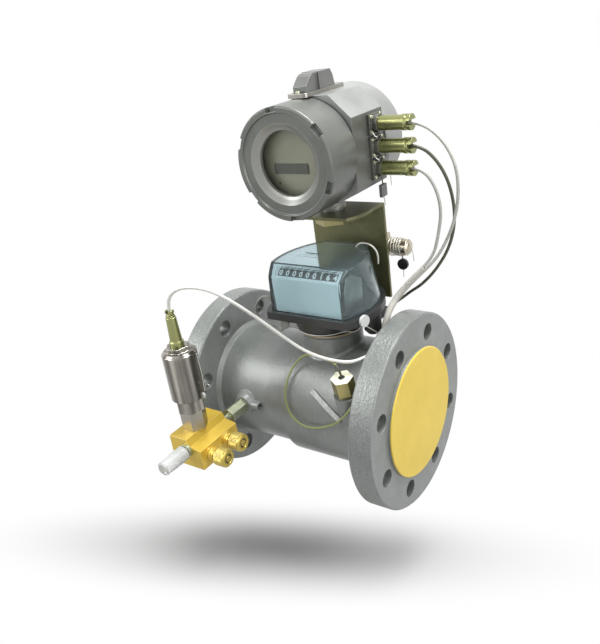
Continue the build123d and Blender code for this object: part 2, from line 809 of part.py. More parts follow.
def index_frame():
    """Two side plates on a floor plate, with the wheel axle and the worm's top bearing."""
    floor_z = index_base_top_z
    front = counter_y - frame_depth
    rear = transfer_y + frame_depth
    left = frame_left_x - frame_plate
    right = frame_right_x + frame_plate
    plates = block(left, right, front, rear, floor_z, floor_z + frame_plate)
    for side_x in (frame_left_x - frame_plate, frame_right_x):
        side = extrude(Plane.YZ.offset(side_x) * make_face(Polyline([
            (front, floor_z), (rear, floor_z), (rear, number_axis_z - 2), (counter_y + 5, number_axis_z + 7),
            (counter_y - 5, number_axis_z + 7), (front, number_axis_z - 6),
        ], close=True)), frame_plate)
        plates = plates + side
    bar_z = counter_z + worm_length / 2 + 1
    bar = block(frame_left_x, frame_right_x, transfer_y - 1, transfer_y + 5, bar_z, bar_z + 2)
    axle_length = frame_right_x - frame_left_x + 2 * frame_plate
    axle_start = (frame_left_x - frame_plate, counter_y, number_axis_z)
    hole_radius = transfer_shaft_radius + shaft_clearance
    worm_hole = rod((neck_x, transfer_y, floor_z - 1), (0, 0, 1), hole_radius, index_cover_height)
    counter_hole = rod((frame_left_x - 5, counter_y, counter_z), (1, 0, 0), hole_radius, axle_length + 10)
    spur_slot = block(
        spur_x - spur_clearance, frame_right_x, counter_y - worm_wheel_radius, counter_y + worm_wheel_radius,
        floor_z - 1, floor_z + frame_plate + 1,
    )
    axle = rod(axle_start, (1, 0, 0), number_axle_radius, axle_length)
    return (plates + bar - worm_hole - counter_hole - spur_slot) + axle


def index_outline(grow, height_share):
    """The index outline seen from above: flat front, bulging sides, short flat rear."""
    inset = index_top_inset * height_share
    front = index_half_width - 0.5 * inset + grow
    side = index_side_half_width - 1.7 * inset + grow
    rear = index_rear_half_width - inset + 0.6 * grow
    front_y = index_front_y - grow
    rear_y = index_rear_y - inset + grow
    wire = [
        Line((-front, front_y), (front, front_y)),
        ThreePointArc((front, front_y), (side, index_side_y), (rear, rear_y)),
        Line((rear, rear_y), (-rear, rear_y)),
        ThreePointArc((-rear, rear_y), (-side, index_side_y), (-front, front_y)),
    ]
    return Pos(neck_x, 0, 0) * make_face(wire)


def index_block(grow):
    """The cover's block, its wall moved out by grow, with the leaning upper front."""
    top_z = index_top_z + grow
    lower = Pos(0, 0, index_base_top_z) * index_outline(grow, 0)
    upper = Pos(0, 0, top_z) * index_outline(grow, 1)
    solid = loft([lower, upper], ruled=True)
    lean_y = index_top_front_y - index_front_y
    lean_z = index_top_z - index_fold_z
    length = math.hypot(lean_y, lean_z)
    fold = (neck_x, index_front_y - grow * lean_z / length, index_fold_z + grow * lean_y / length)
    lean = Plane(origin=fold, x_dir=(1, 0, 0), z_dir=(0, -lean_z, lean_y))
    width = 3 * index_side_half_width
    return solid - lean * Box(width, width, index_cover_height, align=ABOVE)


def index_base():
    """Black moulding: skirt on the neck, rim round the cover, flat rear for the bracket."""
    skirt = turned((neck_x, 0, index_base_bottom_z), (0, 0, 1), [
        (0, 0),
        (index_skirt_bottom_radius, 0),
        (index_skirt_top_radius, index_skirt_height - 4),
        (index_skirt_top_radius + index_skirt_lip, index_skirt_height),
        (0, index_skirt_height),
    ])
    rim = Pos(0, 0, index_rim_bottom_z) * extrude(index_outline(index_rim_overhang, 0), index_rim_height)
    rear = block(
        neck_x - index_rear_half_width, neck_x + index_rear_half_width, index_skirt_bottom_radius - 6,
        bracket_front_y, bracket_bottom_z, index_base_top_z,
    )
    base = skirt + rim + rear
    room_height = index_floor_z - index_base_bottom_z
    room = rod((neck_x, 0, index_base_bottom_z - 1), (0, 0, 1), neck_bore_radius, room_height + 1)
    hole_radius = transfer_shaft_radius + shaft_clearance
    hole = rod((neck_x, transfer_y, index_floor_z - 1), (0, 0, 1), hole_radius, index_floor_thickness + 2)
    base = base - room - hole
    for side in (-1, 1):
        tapped = (neck_x + side * bracket_bolt_x, bracket_front_y, bracket_bolt_z)
        base = base - rod(tapped, (0, -1, 0), bracket_bolt_radius + shaft_clearance, bracket_bolt_depth + 2)
    return base


def index_cover():
    """Clear blue-grey cover, open below, with a shallow oblong recess in its lid."""
    cover = index_block(0) - index_block(-cover_wall)
    skin = index_base_top_z + cover_wall + 0.01
    inside = index_outline(-cover_wall, 0)
    floor = Pos(0, 0, index_base_top_z - 1) * extrude(inside, skin - index_base_top_z + 1)
    recess = Pos(lid_recess_x, lid_recess_y, index_top_z - lid_recess_depth) * extrude(
        SlotOverall(lid_recess_length, lid_recess_width), lid_recess_depth + 1
    )
    return cover - floor - recess


def index_faceplate():
    """Printed plate behind the clear front: upright below, leaning above, with its window."""
    step = cover_wall + faceplate_gap
    outer = index_block(-step) - index_block(-step - faceplate_thickness)
    reach = index_half_width - cover_wall - 2
    slab = block(neck_x - reach, neck_x + reach, index_front_y - 5, index_top_front_y + 1.5,
                 index_base_top_z, index_top_z - 5)
    lean_y = index_top_front_y - index_front_y
    lean_z = index_top_z - index_fold_z
    middle = (neck_x, (index_front_y + index_top_front_y) / 2 + 0.8, (index_fold_z + index_top_z) / 2 - 1)
    opening = Plane(origin=middle, x_dir=(1, 0, 0), z_dir=(0, -lean_z, lean_y)) * Box(
        number_window_width, number_window_height, 2 * number_window_height
    )
    return (outer & slab) - opening


def neck_ring():
    """Wire ring round the neck lip, under the index base."""
    height = neck_top_z - 2.4
    return turned((neck_x, 0, height), (0, 0, 1), [
        (neck_lip_radius, 0),
        (neck_lip_radius + 0.9, 0.3),
        (neck_lip_radius + 0.9, 1.7),
        (neck_lip_radius, 2.0),
    ])


def pulse_connector():
    """Black angled connector under the right edge of the index base, its outlet to the rear."""
    drop = turned((connector_x, connector_y, index_rim_bottom_z), (0, 0, -1), [
        (0, 0), (connector_radius, 0), (connector_radius, connector_length - connector_bottom_chamfer),
        (connector_radius - 0.8 * connector_bottom_chamfer, connector_length), (0, connector_length),
    ])
    outlet = rod((connector_x, connector_y, connector_outlet_z), (0, 1, 0), connector_outlet_radius,
                 connector_outlet_end_y - connector_y)
    return drop + outlet


def bracket():
    """Folded sheet: an upright behind the index and a shelf under the corrector."""
    rear_y = bracket_front_y + bracket_sheet
    upright = block(
        neck_x - bracket_half_width, neck_x + bracket_half_width, bracket_front_y, rear_y,
        bracket_bottom_z, shelf_top_z,
    )
    front_left = (-shelf_front_half_width, shelf_front_y)
    front_right = (shelf_front_half_width, shelf_front_y)
    bend_in = 30.0
    waist = bracket_half_width - 1.5
    outline = [
        Line(front_left, front_right),
        ThreePointArc(front_right, (waist - 2, shelf_front_y + 12), (waist, bend_in)),
        Line((waist, bend_in), (bracket_half_width, rear_y)),
        Line((bracket_half_width, rear_y), (-bracket_half_width, rear_y)),
        Line((-bracket_half_width, rear_y), (-waist, bend_in)),
        ThreePointArc((-waist, bend_in), (-waist + 2, shelf_front_y + 12), front_left),
    ]
    shelf = Pos(neck_x, 0, shelf_top_z - bracket_sheet) * extrude(make_face(outline), bracket_sheet)
    sheet = upright + shelf
    bend = [edge for edge in sheet.edges().filter_by(Axis.X) if edge.center().Y > rear_y - 0.01
            and edge.center().Z > shelf_top_z - 0.01]
    sheet = fillet(bend, bracket_bend_radius)
    for side in (-1, 1):
        hole = (neck_x + side * bracket_bolt_x, bracket_front_y - 1, bracket_bolt_z)
        sheet = sheet - rod(hole, (0, 1, 0), bracket_bolt_radius + bolt_clearance, bracket_sheet + 2)
    foot_hole = rod((corrector_x, foot_y, shelf_top_z - 2 * bracket_sheet), (0, 0, 1),
                    foot_thread_radius + foot_hole_clearance, 3 * bracket_sheet)
    return sheet - foot_hole


def bracket_bolts():
    bolts = []
    for side in (-1, 1):
        x = neck_x + side * bracket_bolt_x
        rear_y = bracket_front_y + bracket_sheet
        head = hex_bar((x, rear_y, bracket_bolt_z), (0, 1, 0), bracket_bolt_flats, bracket_bolt_head)
        reach = bracket_sheet + bracket_bolt_depth
        shank = rod((x, rear_y, bracket_bolt_z), (0, -1, 0), bracket_bolt_radius, reach)
        bolts.append(head + shank)
    return Compound(children=bolts)


# The volume corrector stands on the bracket's shelf
def corrector_housing():
    front_y = corrector_front_seam_y
    rear_y = corrector_rear_seam_y
    centre = (corrector_x, front_y, corrector_z)
    drum = rod(centre, (0, 1, 0), corrector_radius, rear_y - front_y)
    left = corrector_x - crown_left_half_width
    right = corrector_x + crown_half_width
    section = make_face(Polyline([
        (left, corrector_z), (left, crown_z), (right, crown_z), (pad_x, pad_top_z), (pad_x, pad_bottom_z),
        (right, pad_bottom_z - 10), (corrector_x, corrector_z - 30),
    ], close=True))
    boss = extrude(Plane.XZ * section, -(rear_y - front_y - 3))
    housing = drum + Pos(0, front_y + 1.5, 0) * boss
    spigots = rod((corrector_x, front_y - spigot_length, corrector_z), (0, 1, 0), spigot_radius,
                  rear_y - front_y + 2 * spigot_length)
    housing = housing + spigots
    foot = turned((corrector_x, foot_y, shelf_top_z), (0, 0, 1), [
        (0, 0), (foot_radius, 0), (foot_radius, 0.6 * foot_height),
        (foot_radius + foot_flare, 1.5 * foot_height), (0, 1.5 * foot_height),
    ])
    thread_length = bracket_sheet + foot_nut_height + 2
    thread_start = (corrector_x, foot_y, shelf_top_z - thread_length)
    thread = rod(thread_start, (0, 0, 1), foot_thread_radius, thread_length)
    room = rod((corrector_x, front_y - spigot_length - 1, corrector_z), (0, 1, 0), electronics_bore_radius,
               rear_y - front_y + 2 * spigot_length - 3)
    return housing + foot + thread - room


def front_cover():
    """Screwed cover with a castellated rim round the window."""
    depth = corrector_front_seam_y - front_cover_front_y - thread_clearance
    outline = [
        (window_radius, window_recess),
        (front_bevel_radius - 4, 4.8),
        (front_bevel_radius, 1.6),
        (front_rim_inner_radius - 0.8, 1.6),
        (front_rim_inner_radius, 0),
        (front_cover_radius - 1.2, 0),
        (front_cover_radius, 1.2),
        (front_cover_radius, depth),
        (spigot_radius + thread_clearance, depth),
        (spigot_radius + thread_clearance, front_wall),
        (glass_radius, front_wall),
        (glass_radius, front_wall - glass_thickness),
        (window_radius, front_wall - glass_thickness),
    ]
    cover = turned((corrector_x, front_cover_front_y, corrector_z), (0, 1, 0), outline)
    for notch in range(notch_count):
        angle = notch_angle + 360 / notch_count * notch
        cutter = Pos(front_cover_radius, 0, 0) * Box(
            2 * (front_cover_radius - front_rim_inner_radius) - 1.5, 2 * notch_depth, notch_width
        )
        placed = Pos(corrector_x, front_cover_front_y, corrector_z) * Rotation(0, -angle, 0) * cutter
        cover = cover - placed
    return cover


def window_glass():
    start = front_cover_front_y + front_wall - glass_thickness
    return rod((corrector_x, start, corrector_z), (0, 1, 0), glass_radius, glass_thickness)


def display_plate():
    """Faceplate behind the window, with the display standing a little proud."""
    seat_y = corrector_front_seam_y - spigot_length
    plate = rod((corrector_x, seat_y, corrector_z), (0, -1, 0), plate_radius, plate_thickness)
    front = seat_y - plate_thickness
    display = block(
        lcd_x - lcd_width / 2, lcd_x + lcd_width / 2, front - lcd_thickness, front + plate_thickness / 2,
        lcd_z - lcd_height / 2, lcd_z + lcd_height / 2,
    )
    return plate + display


def rear_cover():
    start = corrector_rear_seam_y + thread_clearance
    depth = rear_cover_end_y - start
    inner = depth - rear_wall
    return turned((corrector_x, start, corrector_z), (0, 1, 0), [
        (spigot_radius + thread_clearance, 0),
        (rear_cover_radius - 2.5, 0),
        (rear_cover_radius, 2.5),
        (rear_cover_radius, depth - 3),
        (rear_cover_radius - 3, depth),
        (0, depth),
        (0, inner),
        (spigot_radius + thread_clearance, inner),
    ])


def foot_nut():
    nut = hex_bar(
        (corrector_x, foot_y, shelf_top_z - bracket_sheet), (0, 0, -1), foot_nut_flats, foot_nut_height, 30
    )
    bore = rod((corrector_x, foot_y, shelf_top_z), (0, 0, -1), foot_thread_radius, 40)
    return nut - bore


def service_plate():
    """Flat plate screwed to the crown, with an ear at each end."""
    middle_y = (service_plate_front_y + service_plate_rear_y) / 2
    length = service_plate_rear_y - service_plate_front_y
    outline = Rectangle(service_plate_width, length)
    plate = extrude(fillet(outline.vertices(), 4), service_plate_thickness)
    return Pos(corrector_x, middle_y, crown_z) * plate


def back_connector():
    """Service connector behind the bracket, on a lug, pointing downstream."""
    lug = block(
        back_connector_start_x - back_lug_thickness, back_connector_start_x, bracket_front_y + bracket_sheet,
        back_connector_y + back_lug_half_height, back_connector_z - back_lug_half_height,
        back_connector_z + back_lug_half_height,
    )
    reach = back_connector_end_x - back_connector_start_x
    ring = back_connector_radius + back_connector_collar
    shell = turned((back_connector_start_x, back_connector_y, back_connector_z), (1, 0, 0), [
        (0, 0), (ring, 0), (ring, 0.15 * reach), (back_connector_radius - 1, 0.2 * reach),
        (back_connector_radius - 1, 0.35 * reach), (back_connector_radius, 0.4 * reach),
        (back_connector_radius, reach - 2), (back_connector_radius - 2, reach), (0, reach),
    ])
    return lug + shell


def index_tag():
    """The round seal flat against the bulging right side of the index rim."""
    rim = Pos(0, 0, index_tag_z) * index_outline(index_rim_overhang, 0)
    edge = rim.edges().filter_by(GeomType.CIRCLE).sort_by(Axis.X)[-1]
    outward = Vector(0, 0, 0)
    place = Vector(0, 0, 0)
    for step in range(1, 200):
        share = step / 200
        if abs((edge @ share).Y - index_tag_y) < abs(place.Y - index_tag_y):
            place = edge @ share
            outward = (edge % share).cross(Vector(0, 0, 1))
    if outward.X < 0:
        outward = -outward
    return rod(place + outward * 0.05, outward, index_tag_radius, index_tag_thickness)


def wire_seals():
    """Seal tags on wire ends: at the index, behind the bracket, and a flat one below the plugs."""
    back_x = back_connector_end_x - back_tag_setback
    back_top = back_connector_z - back_connector_radius
    back_wire = rod((back_x, back_connector_y, back_top), (0, 0, -1), tag_wire_radius, tag_wire_length)
    back_tag_z = back_top - tag_wire_length - back_tag_radius + 0.5
    back_tag = rod((back_x, back_connector_y - tag_thickness / 2, back_tag_z), (0, 1, 0), back_tag_radius,
                   tag_thickness)
    low_z = plug_top_z - plug_pitch * (plug_count - 1) - socket_coupling_radius
    flat_x = pad_x + socket_flange + 2
    flat_wire = rod((flat_x, plug_y, low_z), (0, 0, -1), tag_wire_radius, 1.5 * tag_wire_length)
    flat_top = low_z - 1.4 * tag_wire_length
    flat_tag = block(flat_x - tag_thickness / 2, flat_x + tag_thickness / 2, plug_y - flat_tag_half_width,
                     plug_y + flat_tag_half_width, flat_top - tag_height, flat_top)
    return Compound(children=[index_tag(), back_wire + back_tag, flat_wire + flat_tag])


def service_cap():
    """Two-lobed moulded hood over the connector, its front lobe sloped back."""
    base_z = crown_z + service_plate_thickness
    top_z = base_z + service_cap_height
    split = service_cap_split_y
    front = service_cap_front_y
    rear = service_cap_rear_y
    front_lobe = extrude(Plane.YZ * make_face(Polyline([
        (front, base_z), (front, base_z + 5), (front + 8, top_z - 2), (front + 12, top_z), (split, top_z),
        (split, base_z),
    ], close=True)), service_cap_half_width, both=True)
    rear_lobe = extrude(Plane.YZ * make_face(Polyline([
        (split, base_z), (split, top_z + 0.5), (rear - 6, top_z + 0.5), (rear - 2.5, top_z - 5),
        (rear, base_z),
    ], close=True)), service_cap_half_width + 2, both=True)
    return Pos(corrector_x, 0, 0) * (front_lobe + rear_lobe)


def plug_axes():
    """Where the three plugs leave the side pad, from the top down."""
    return [(pad_x, plug_y, plug_top_z - plug_pitch * row) for row in range(plug_count)]


def plug_sockets():
    sockets = []
    for x, y, z in plug_axes():
        flange = block(x, x + socket_flange, y - socket_width / 2, y + socket_width / 2,
                       z - socket_height / 2, z + socket_height / 2)
        coupling = rod((x, y, z), (1, 0, 0), socket_coupling_radius, socket_flange + socket_coupling_length)
        sockets.append(flange + coupling)
    return Compound(children=sockets)


def plug_barrels():
    barrels = []
    for x, y, z in plug_axes():
        start = x + socket_flange + socket_coupling_length
        barrels.append(rod((start, y, z), (1, 0, 0), plug_radius, plug_length))
    return Compound(children=barrels)


def slotted_nut(start, direction, radius, length, bore):
    """The end nut of a plug: a grooved collar with a screwdriver slot and the lead's bore."""
    nut = turned((0, 0, 0), (0, 0, 1), [
        (bore, 0), (radius, 0), (radius, length * 0.35), (radius - 1.2, length * 0.42),
        (radius - 1.2, length * 0.58), (radius, length * 0.65), (radius, length), (bore, length),
    ])
    slot = Pos(0, 0, length) * Box(plug_slot, 4 * radius, length * 0.9)
    return Plane(origin=start, z_dir=direction) * (nut - slot)


def plug_nuts():
    nuts = []
    for x, y, z in plug_axes():
        start = x + socket_flange + socket_coupling_length + plug_length
        nuts.append(slotted_nut((start, y, z), (1, 0, 0), plug_nut_radius, plug_nut_length, 1.8))
    return Compound(children=nuts)


# The pressure side: tapping nipple, valve block, sensor and test point
def valve_block():
    section = Polyline([
        (block_left_x, block_bottom_z), (block_left_x, block_top_z), (block_top_right_x, block_top_z),
        (block_slope_foot_x, block_slope_foot_z), (block_right_x, block_shelf_z),
        (block_right_x, block_bottom_z),
    ], close=True)
    length = block_rear_y - block_front_y
    body = Pos(0, block_front_y, 0) * extrude(Plane.XZ * make_face(section), -length)
    passage = rod((tapping_x, block_front_y - 1, tapping_z), (0, 1, 0), block_bore_radius, length + 2)
    riser = rod((sensor_x, sensor_y, 0), (0, 0, 1), block_bore_radius, block_top_z + 1)
    body = body - passage - riser
    for y, z in ((knob_1_y, knob_1_z), (knob_2_y, knob_2_z)):
        groove = knob_bonnet_length / 2
        bonnet = turned((block_right_x, y, z), (1, 0, 0), [
            (0, 0), (knob_bonnet_radius, 0), (knob_bonnet_radius, groove - 0.8),
            (knob_bonnet_radius - 1, groove), (knob_bonnet_radius - 1, groove + 1),
            (knob_bonnet_radius, groove + 1.8), (knob_bonnet_radius, knob_bonnet_length),
            (0, knob_bonnet_length),
        ])
        hole_start = (block_right_x - spindle_socket_depth, y, z)
        hole = rod(hole_start, (1, 0, 0), spindle_radius + shaft_clearance, 3 * spindle_socket_depth)
        body = body + bonnet - hole
    return body


def valve_knob(y, z):
    """A knurled hand knob with its spindle, seated in the bonnet."""
    length = knob_length
    knob = turned((knob_start_x, y, z), (1, 0, 0), [
        (0, 0), (knob_radius - 1.2, 0), (knob_radius, 1.2), (knob_radius, length - 1.2),
        (knob_radius - 1.2, length), (knob_radius - 3.5, length), (knob_radius - 4.2, length - 1.5),
        (3.2, length - 1.5), (2.6, length), (0, length),
    ])
    spindle_start = block_right_x - spindle_socket_depth + 0.5
    return knob + rod((spindle_start, y, z), (1, 0, 0), spindle_radius, knob_start_x - spindle_start + 0.5)


def tapping_nipple():
    """Hexagon nipple between the boss and the block, bored through."""
    start_y = tapping_boss_front_y
    hexagon = hex_bar((tapping_x, start_y, tapping_z), (0, -1, 0), nipple_flats, nipple_hex_length)
    neck_start = (tapping_x, nipple_hex_end_y, tapping_z)
    neck = rod(neck_start, (0, -1, 0), nipple_radius, nipple_neck_length)
    bore = rod((tapping_x, start_y + 1, tapping_z), (0, -1, 0), nipple_bore_radius, -block_rear_y)
    return hexagon + neck - bore


def test_nipple():
    start = (tapping_x, block_front_y, tapping_z)
    collar = test_nipple_radius + 2
    return turned(start, (0, -1, 0), [
        (nipple_bore_radius, 0), (collar, 0), (collar, 3.0), (test_nipple_radius, 3.6),
        (test_nipple_radius, test_nipple_length - 1), (test_nipple_radius - 1, test_nipple_length),
        (nipple_bore_radius, test_nipple_length),
    ])


def test_cap():
    """Soft translucent cap pushed over the nipple, slightly tapered."""
    length = test_cap_length
    bore = test_nipple_radius + thread_clearance
    bore_depth = test_nipple_length + 0.5 - test_cap_gap
    return turned((tapping_x, test_cap_start_y, tapping_z), (0, -1, 0), [
        (bore, 0), (test_cap_radius, 0), (test_cap_radius, 7), (test_cap_radius - 0.6, length - 1.5),
        (test_cap_radius - 2.4, length), (0, length), (0, bore_depth), (bore, bore_depth),
    ])


def sensor_adapter():
    column = hex_bar(
        (sensor_x, sensor_y, block_top_z), (0, 0, 1), adapter_flats, adapter_top_z - block_top_z, 0
    )
    return column - rod((sensor_x, sensor_y, 0), (0, 0, 1), block_bore_radius, adapter_top_z + 1)


def pressure_sensor():
    x, y = sensor_x, sensor_y
    lower = hex_bar((x, y, adapter_top_z), (0, 0, 1), sensor_hex_flats, sensor_hex_top_z - adapter_top_z, 15)
    height = sensor_top_z - sensor_hex_top_z
    can = turned((x, y, sensor_hex_top_z), (0, 0, 1), [
        (0, 0), (sensor_radius - 1, 0), (sensor_radius, 1), (sensor_radius, height - 2.5),
        (sensor_radius - 2.5, height), (0, height),
    ])
    cap = hex_bar((x, y, sensor_top_z), (0, 0, 1), sensor_cap_flats, sensor_cap_top_z - sensor_top_z, 10)
    return lower + can + cap


def sensor_plug():
    length = sensor_plug_top_z - sensor_cap_top_z
    barrel = turned((sensor_x, sensor_y, sensor_cap_top_z), (0, 0, 1), [
        (0, 0), (sensor_plug_radius + 1, 0), (sensor_plug_radius + 1, 0.16 * length),
        (sensor_plug_radius, 0.2 * length), (sensor_plug_radius - sensor_plug_taper, length), (0, length),
    ])
    nut = slotted_nut((sensor_x, sensor_y, sensor_plug_top_z), (0, 0, 1), sensor_nut_radius,
                      sensor_nut_top_z - sensor_plug_top_z, 1.9)
    return barrel + nut


def temperature_gland():
    """Brass hexagon screwed into the boss, holding the probe."""
    axis = thermo_axis()
    collar = rod(along_thermo(0), axis, thermo_flats / 2 - 1, thermo_collar)
    hexagon = hex_bar(along_thermo(thermo_collar), axis, thermo_flats, thermo_hex_height, 0)
    return collar + hexagon


def temperature_probe():
    """Steel stem that reaches through the wall into the gas."""
    return rod(along_thermo(-probe_depth), thermo_axis(), probe_radius, probe_depth)


# Leads: routes chosen by hand, each bend spread over its runs
plug_face_x = pad_x + socket_flange + socket_coupling_length + plug_length
pressure_lead_diameter = 3.2
temperature_lead_diameter = 2.2
plug_lead_diameter = 3.0
sleeve_diameter = 6.4

sleeve_route = [
    (238, 32, 141),
    (224, 28, 127),
    (212.5, 20, 113),
    (208.5, 5, 101),
    (208.5, -2, 88),
]
top_route = [
    (plug_face_x, plug_y, plug_top_z),
    (240, 35, plug_top_z),
    (259, 36.5, 263),
    (272, 37, 240),
    (273.5, 37, 211),
    (267.5, 37, 185),
    (257, 37, 163),
    (247.6, 34.4, 148.2),
    (239.25, 32.0, 139.95),
]
bottom_route = [
    (plug_face_x, plug_y, plug_top_z - 2 * plug_pitch),
    (239, 35, plug_top_z - 2 * plug_pitch),
    (251, 36, 222),
    (257, 36, 199),
    (252.5, 36, 174),
    (246.6, 34.8, 152.0),
    (236.9, 32.0, 142.3),
]
pulse_route = [
    (plug_face_x, plug_y, plug_top_z - plug_pitch),
    (240, 35, plug_top_z - plug_pitch),
    (254.5, 39, 241),
    (264, 42, 218),
    (267, 43, 188),
    (260, 43, 160),
    (245, 43, 136),
    (228, 45, 118),
    (214, 48, 108),
    (204, 51, 99.5),
    (connector_x, 40.5, connector_outlet_z),
    (connector_x, connector_outlet_end_y, connector_outlet_z),
]
pressure_route = [
    (sensor_x, sensor_y, sensor_plug_top_z),
    (sensor_x, sensor_y, 149),
    (63, -130, 161),
    (77, -127, 168.5),
    (97, -117, 165),
    (113, -103, 148),
    (126, -83, 121),
    (136, -64, 95),
    (151, -59, 83),
    (171, -59.5, 78.9),
    (190, -58, 77.3),
    (203, -56, 78.5),
    (210, -47, 79.5),
    (209.5, -34, 77),
    (208, -19, 74.5),
    (207.0, -6.7, 79.3),
    (207.0, -2.05, 87.9),
]


def temperature_route():
    """From the gland back to the neck, down round the front of the pipe, and up by the flange."""
    top = thermo_collar + thermo_hex_height
    return [
        along_thermo(top),
        along_thermo(top + 3.7),
        (192.6, -64.7, 71.6),
        (190.3, -63.4, 74.2),
        (187.4, -61.4, 75.4),
        (182.0, -57.1, 74.6),
        (171.5, -49.5, 71.0),
        (155, -45, 70.5),
        (138, -42, 68),
        (127.5, -43.5, 58),
        (123, -51, 49.5),
        (121.3, -59, 38.3),
        (122.3, -65, 26),
        (128, -68.8, 13.5),
        (137.3, -70, 4.7),
        (150, -70, 0.8),
        (167.4, -70, 5.3),
        (184, -70.5, 14.3),
        (194.6, -71.5, 24.5),
        (204.8, -72, 36.9),
        (210.5, -67, 49),
        (211, -54, 59.5),
        (210.8, -38, 66),
        (210.3, -20, 70),
        (210.2, -6.7, 79.3),
        (210.2, -2.05, 87.9),
    ]


def cord(name, route, diameter):
    """A lead's tube: straight runs joined by arcs as large as the runs allow."""
    radii = []
    for before, corner, after in zip(route, route[1:], route[2:]):
        run_in = Vector(*corner) - Vector(*before)
        run_out = Vector(*after) - Vector(*corner)
        half_turn = math.radians(run_in.get_angle(run_out)) / 2
        radii.append(0.45 * min(run_in.length, run_out.length) / math.tan(half_turn))
    path = FilletPolyline(*route, radius=radii)
    tube = sweep(Plane(origin=path @ 0, z_dir=path % 0) * Circle(diameter / 2), path)
    share = tube.volume / (math.pi * diameter ** 2 / 4 * path.length)
    print(name, "length", round(path.length, 1), "bend", round(min(radii), 1), "share", round(share, 4))
    return tube


os.makedirs("parts", exist_ok=True)
save("meter_body", meter_body())
save("inlet_cover", protection_cover(0, (-1, 0, 0)))
save("outlet_cover", protection_cover(face_to_face, (1, 0, 0)))
save("flow_straightener", flow_straightener())
save("turbine_rotor", turbine_rotor())
save("rotor_shaft", rotor_shaft())
save("rotor_bearings", rotor_bearings())
save("measuring_sleeve", measuring_sleeve())
save("transfer_shaft", transfer_shaft())
save("separating_cup", separating_cup())
save("input_shaft", input_shaft())
save("counter_shaft", counter_shaft())
for wheel in range(number_wheel_count):
    save(f"number_wheel_{wheel + 1}", number_wheel(wheel))
save("index_frame", index_frame())
save("index_base", index_base())
save("index_cover", index_cover())
save("index_faceplate", index_faceplate())
save("neck_ring", neck_ring())
save("pulse_connector", pulse_connector())
save("bracket", bracket())
save("bracket_bolts", bracket_bolts())
save("corrector_housing", corrector_housing())
save("front_cover", front_cover())
save("window_glass", window_glass())
save("display_plate", display_plate())
save("rear_cover", rear_cover())
save("foot_nut", foot_nut())
save("service_plate", service_plate())
save("service_cap", service_cap())
save("plug_sockets", plug_sockets())
save("plug_barrels", plug_barrels())
save("plug_nuts", plug_nuts())
save("valve_block", valve_block())
save("valve_knob_1", valve_knob(knob_1_y, knob_1_z))
save("valve_knob_2", valve_knob(knob_2_y, knob_2_z))
save("tapping_nipple", tapping_nipple())
save("test_nipple", test_nipple())
save("test_cap", test_cap())
save("sensor_adapter", sensor_adapter())
save("pressure_sensor", pressure_sensor())
save("sensor_plug", sensor_plug())
save("temperature_gland", temperature_gland())
save("temperature_probe", temperature_probe())
save("back_connector", back_connector())
save("wire_seals", wire_seals())
save("pressure_lead", cord("pressure lead", pressure_route, pressure_lead_diameter))
save("temperature_lead", cord("temperature lead", temperature_route(), temperature_lead_diameter))
save("pulse_lead", cord("pulse lead", pulse_route, plug_lead_diameter))
save("plug_lead_top", cord("top plug lead", top_route, plug_lead_diameter))
save("plug_lead_bottom", cord("bottom plug lead", bottom_route, plug_lead_diameter))
save("lead_sleeve", cord("sleeve", sleeve_route, sleeve_diameter))
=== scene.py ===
# %% [markdown]
# # A turbine gas meter, dressed
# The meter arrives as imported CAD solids. They can't be moved or reshaped here, so this notebook
# gives each one its finish, adds the small things that CAD leaves out (digits, screws, knurls,
# seal wires) and lays the leads as smooth curves.

# %% Load the frame
import json
import math
import bpy
import bmesh
from mathutils import Matrix, Vector


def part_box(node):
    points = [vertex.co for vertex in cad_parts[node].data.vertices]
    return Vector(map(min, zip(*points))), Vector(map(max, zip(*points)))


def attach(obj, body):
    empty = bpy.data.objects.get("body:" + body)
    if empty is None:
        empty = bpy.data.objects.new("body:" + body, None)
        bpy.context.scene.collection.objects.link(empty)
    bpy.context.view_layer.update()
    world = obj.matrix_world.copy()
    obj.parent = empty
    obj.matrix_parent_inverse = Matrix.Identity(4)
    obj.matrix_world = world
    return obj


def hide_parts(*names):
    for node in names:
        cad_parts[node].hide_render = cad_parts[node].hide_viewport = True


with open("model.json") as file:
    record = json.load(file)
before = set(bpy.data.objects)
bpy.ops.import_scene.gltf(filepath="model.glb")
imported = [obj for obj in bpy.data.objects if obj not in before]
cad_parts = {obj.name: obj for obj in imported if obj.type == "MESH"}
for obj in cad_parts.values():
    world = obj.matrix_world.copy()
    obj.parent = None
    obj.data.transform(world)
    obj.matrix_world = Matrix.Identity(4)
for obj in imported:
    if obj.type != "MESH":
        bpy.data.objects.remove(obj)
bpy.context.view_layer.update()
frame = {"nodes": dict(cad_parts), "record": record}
nodes = frame["nodes"]

# %% [markdown]
# ## Camera
# A photograph fixes the view. A camera could be turned by eye, but here it has the turntable angles,
# roll and distance that make the flanges land on the photograph's ellipses. The lens is in
# millimetres on a 36 mm sensor that spans the picture's long side.

# %% Camera
azimuth = math.radians(37.644)
elevation = math.radians(24.318)
roll = math.radians(-8.484)
outlet_face = Vector((0.238, 0, 0))
distance = 0.68044
aside = -0.11915
above = 0.08922

flat_share = math.cos(elevation)
back = Vector((math.sin(azimuth) * flat_share, -math.cos(azimuth) * flat_share, math.sin(elevation)))
level = (-back).cross(Vector((0, 0, 1))).normalized()
upright = level.cross(-back)
right = level * math.cos(roll) + upright * math.sin(roll)
up = upright * math.cos(roll) - level * math.sin(roll)
eye = outlet_face + back * distance + right * aside + up * above

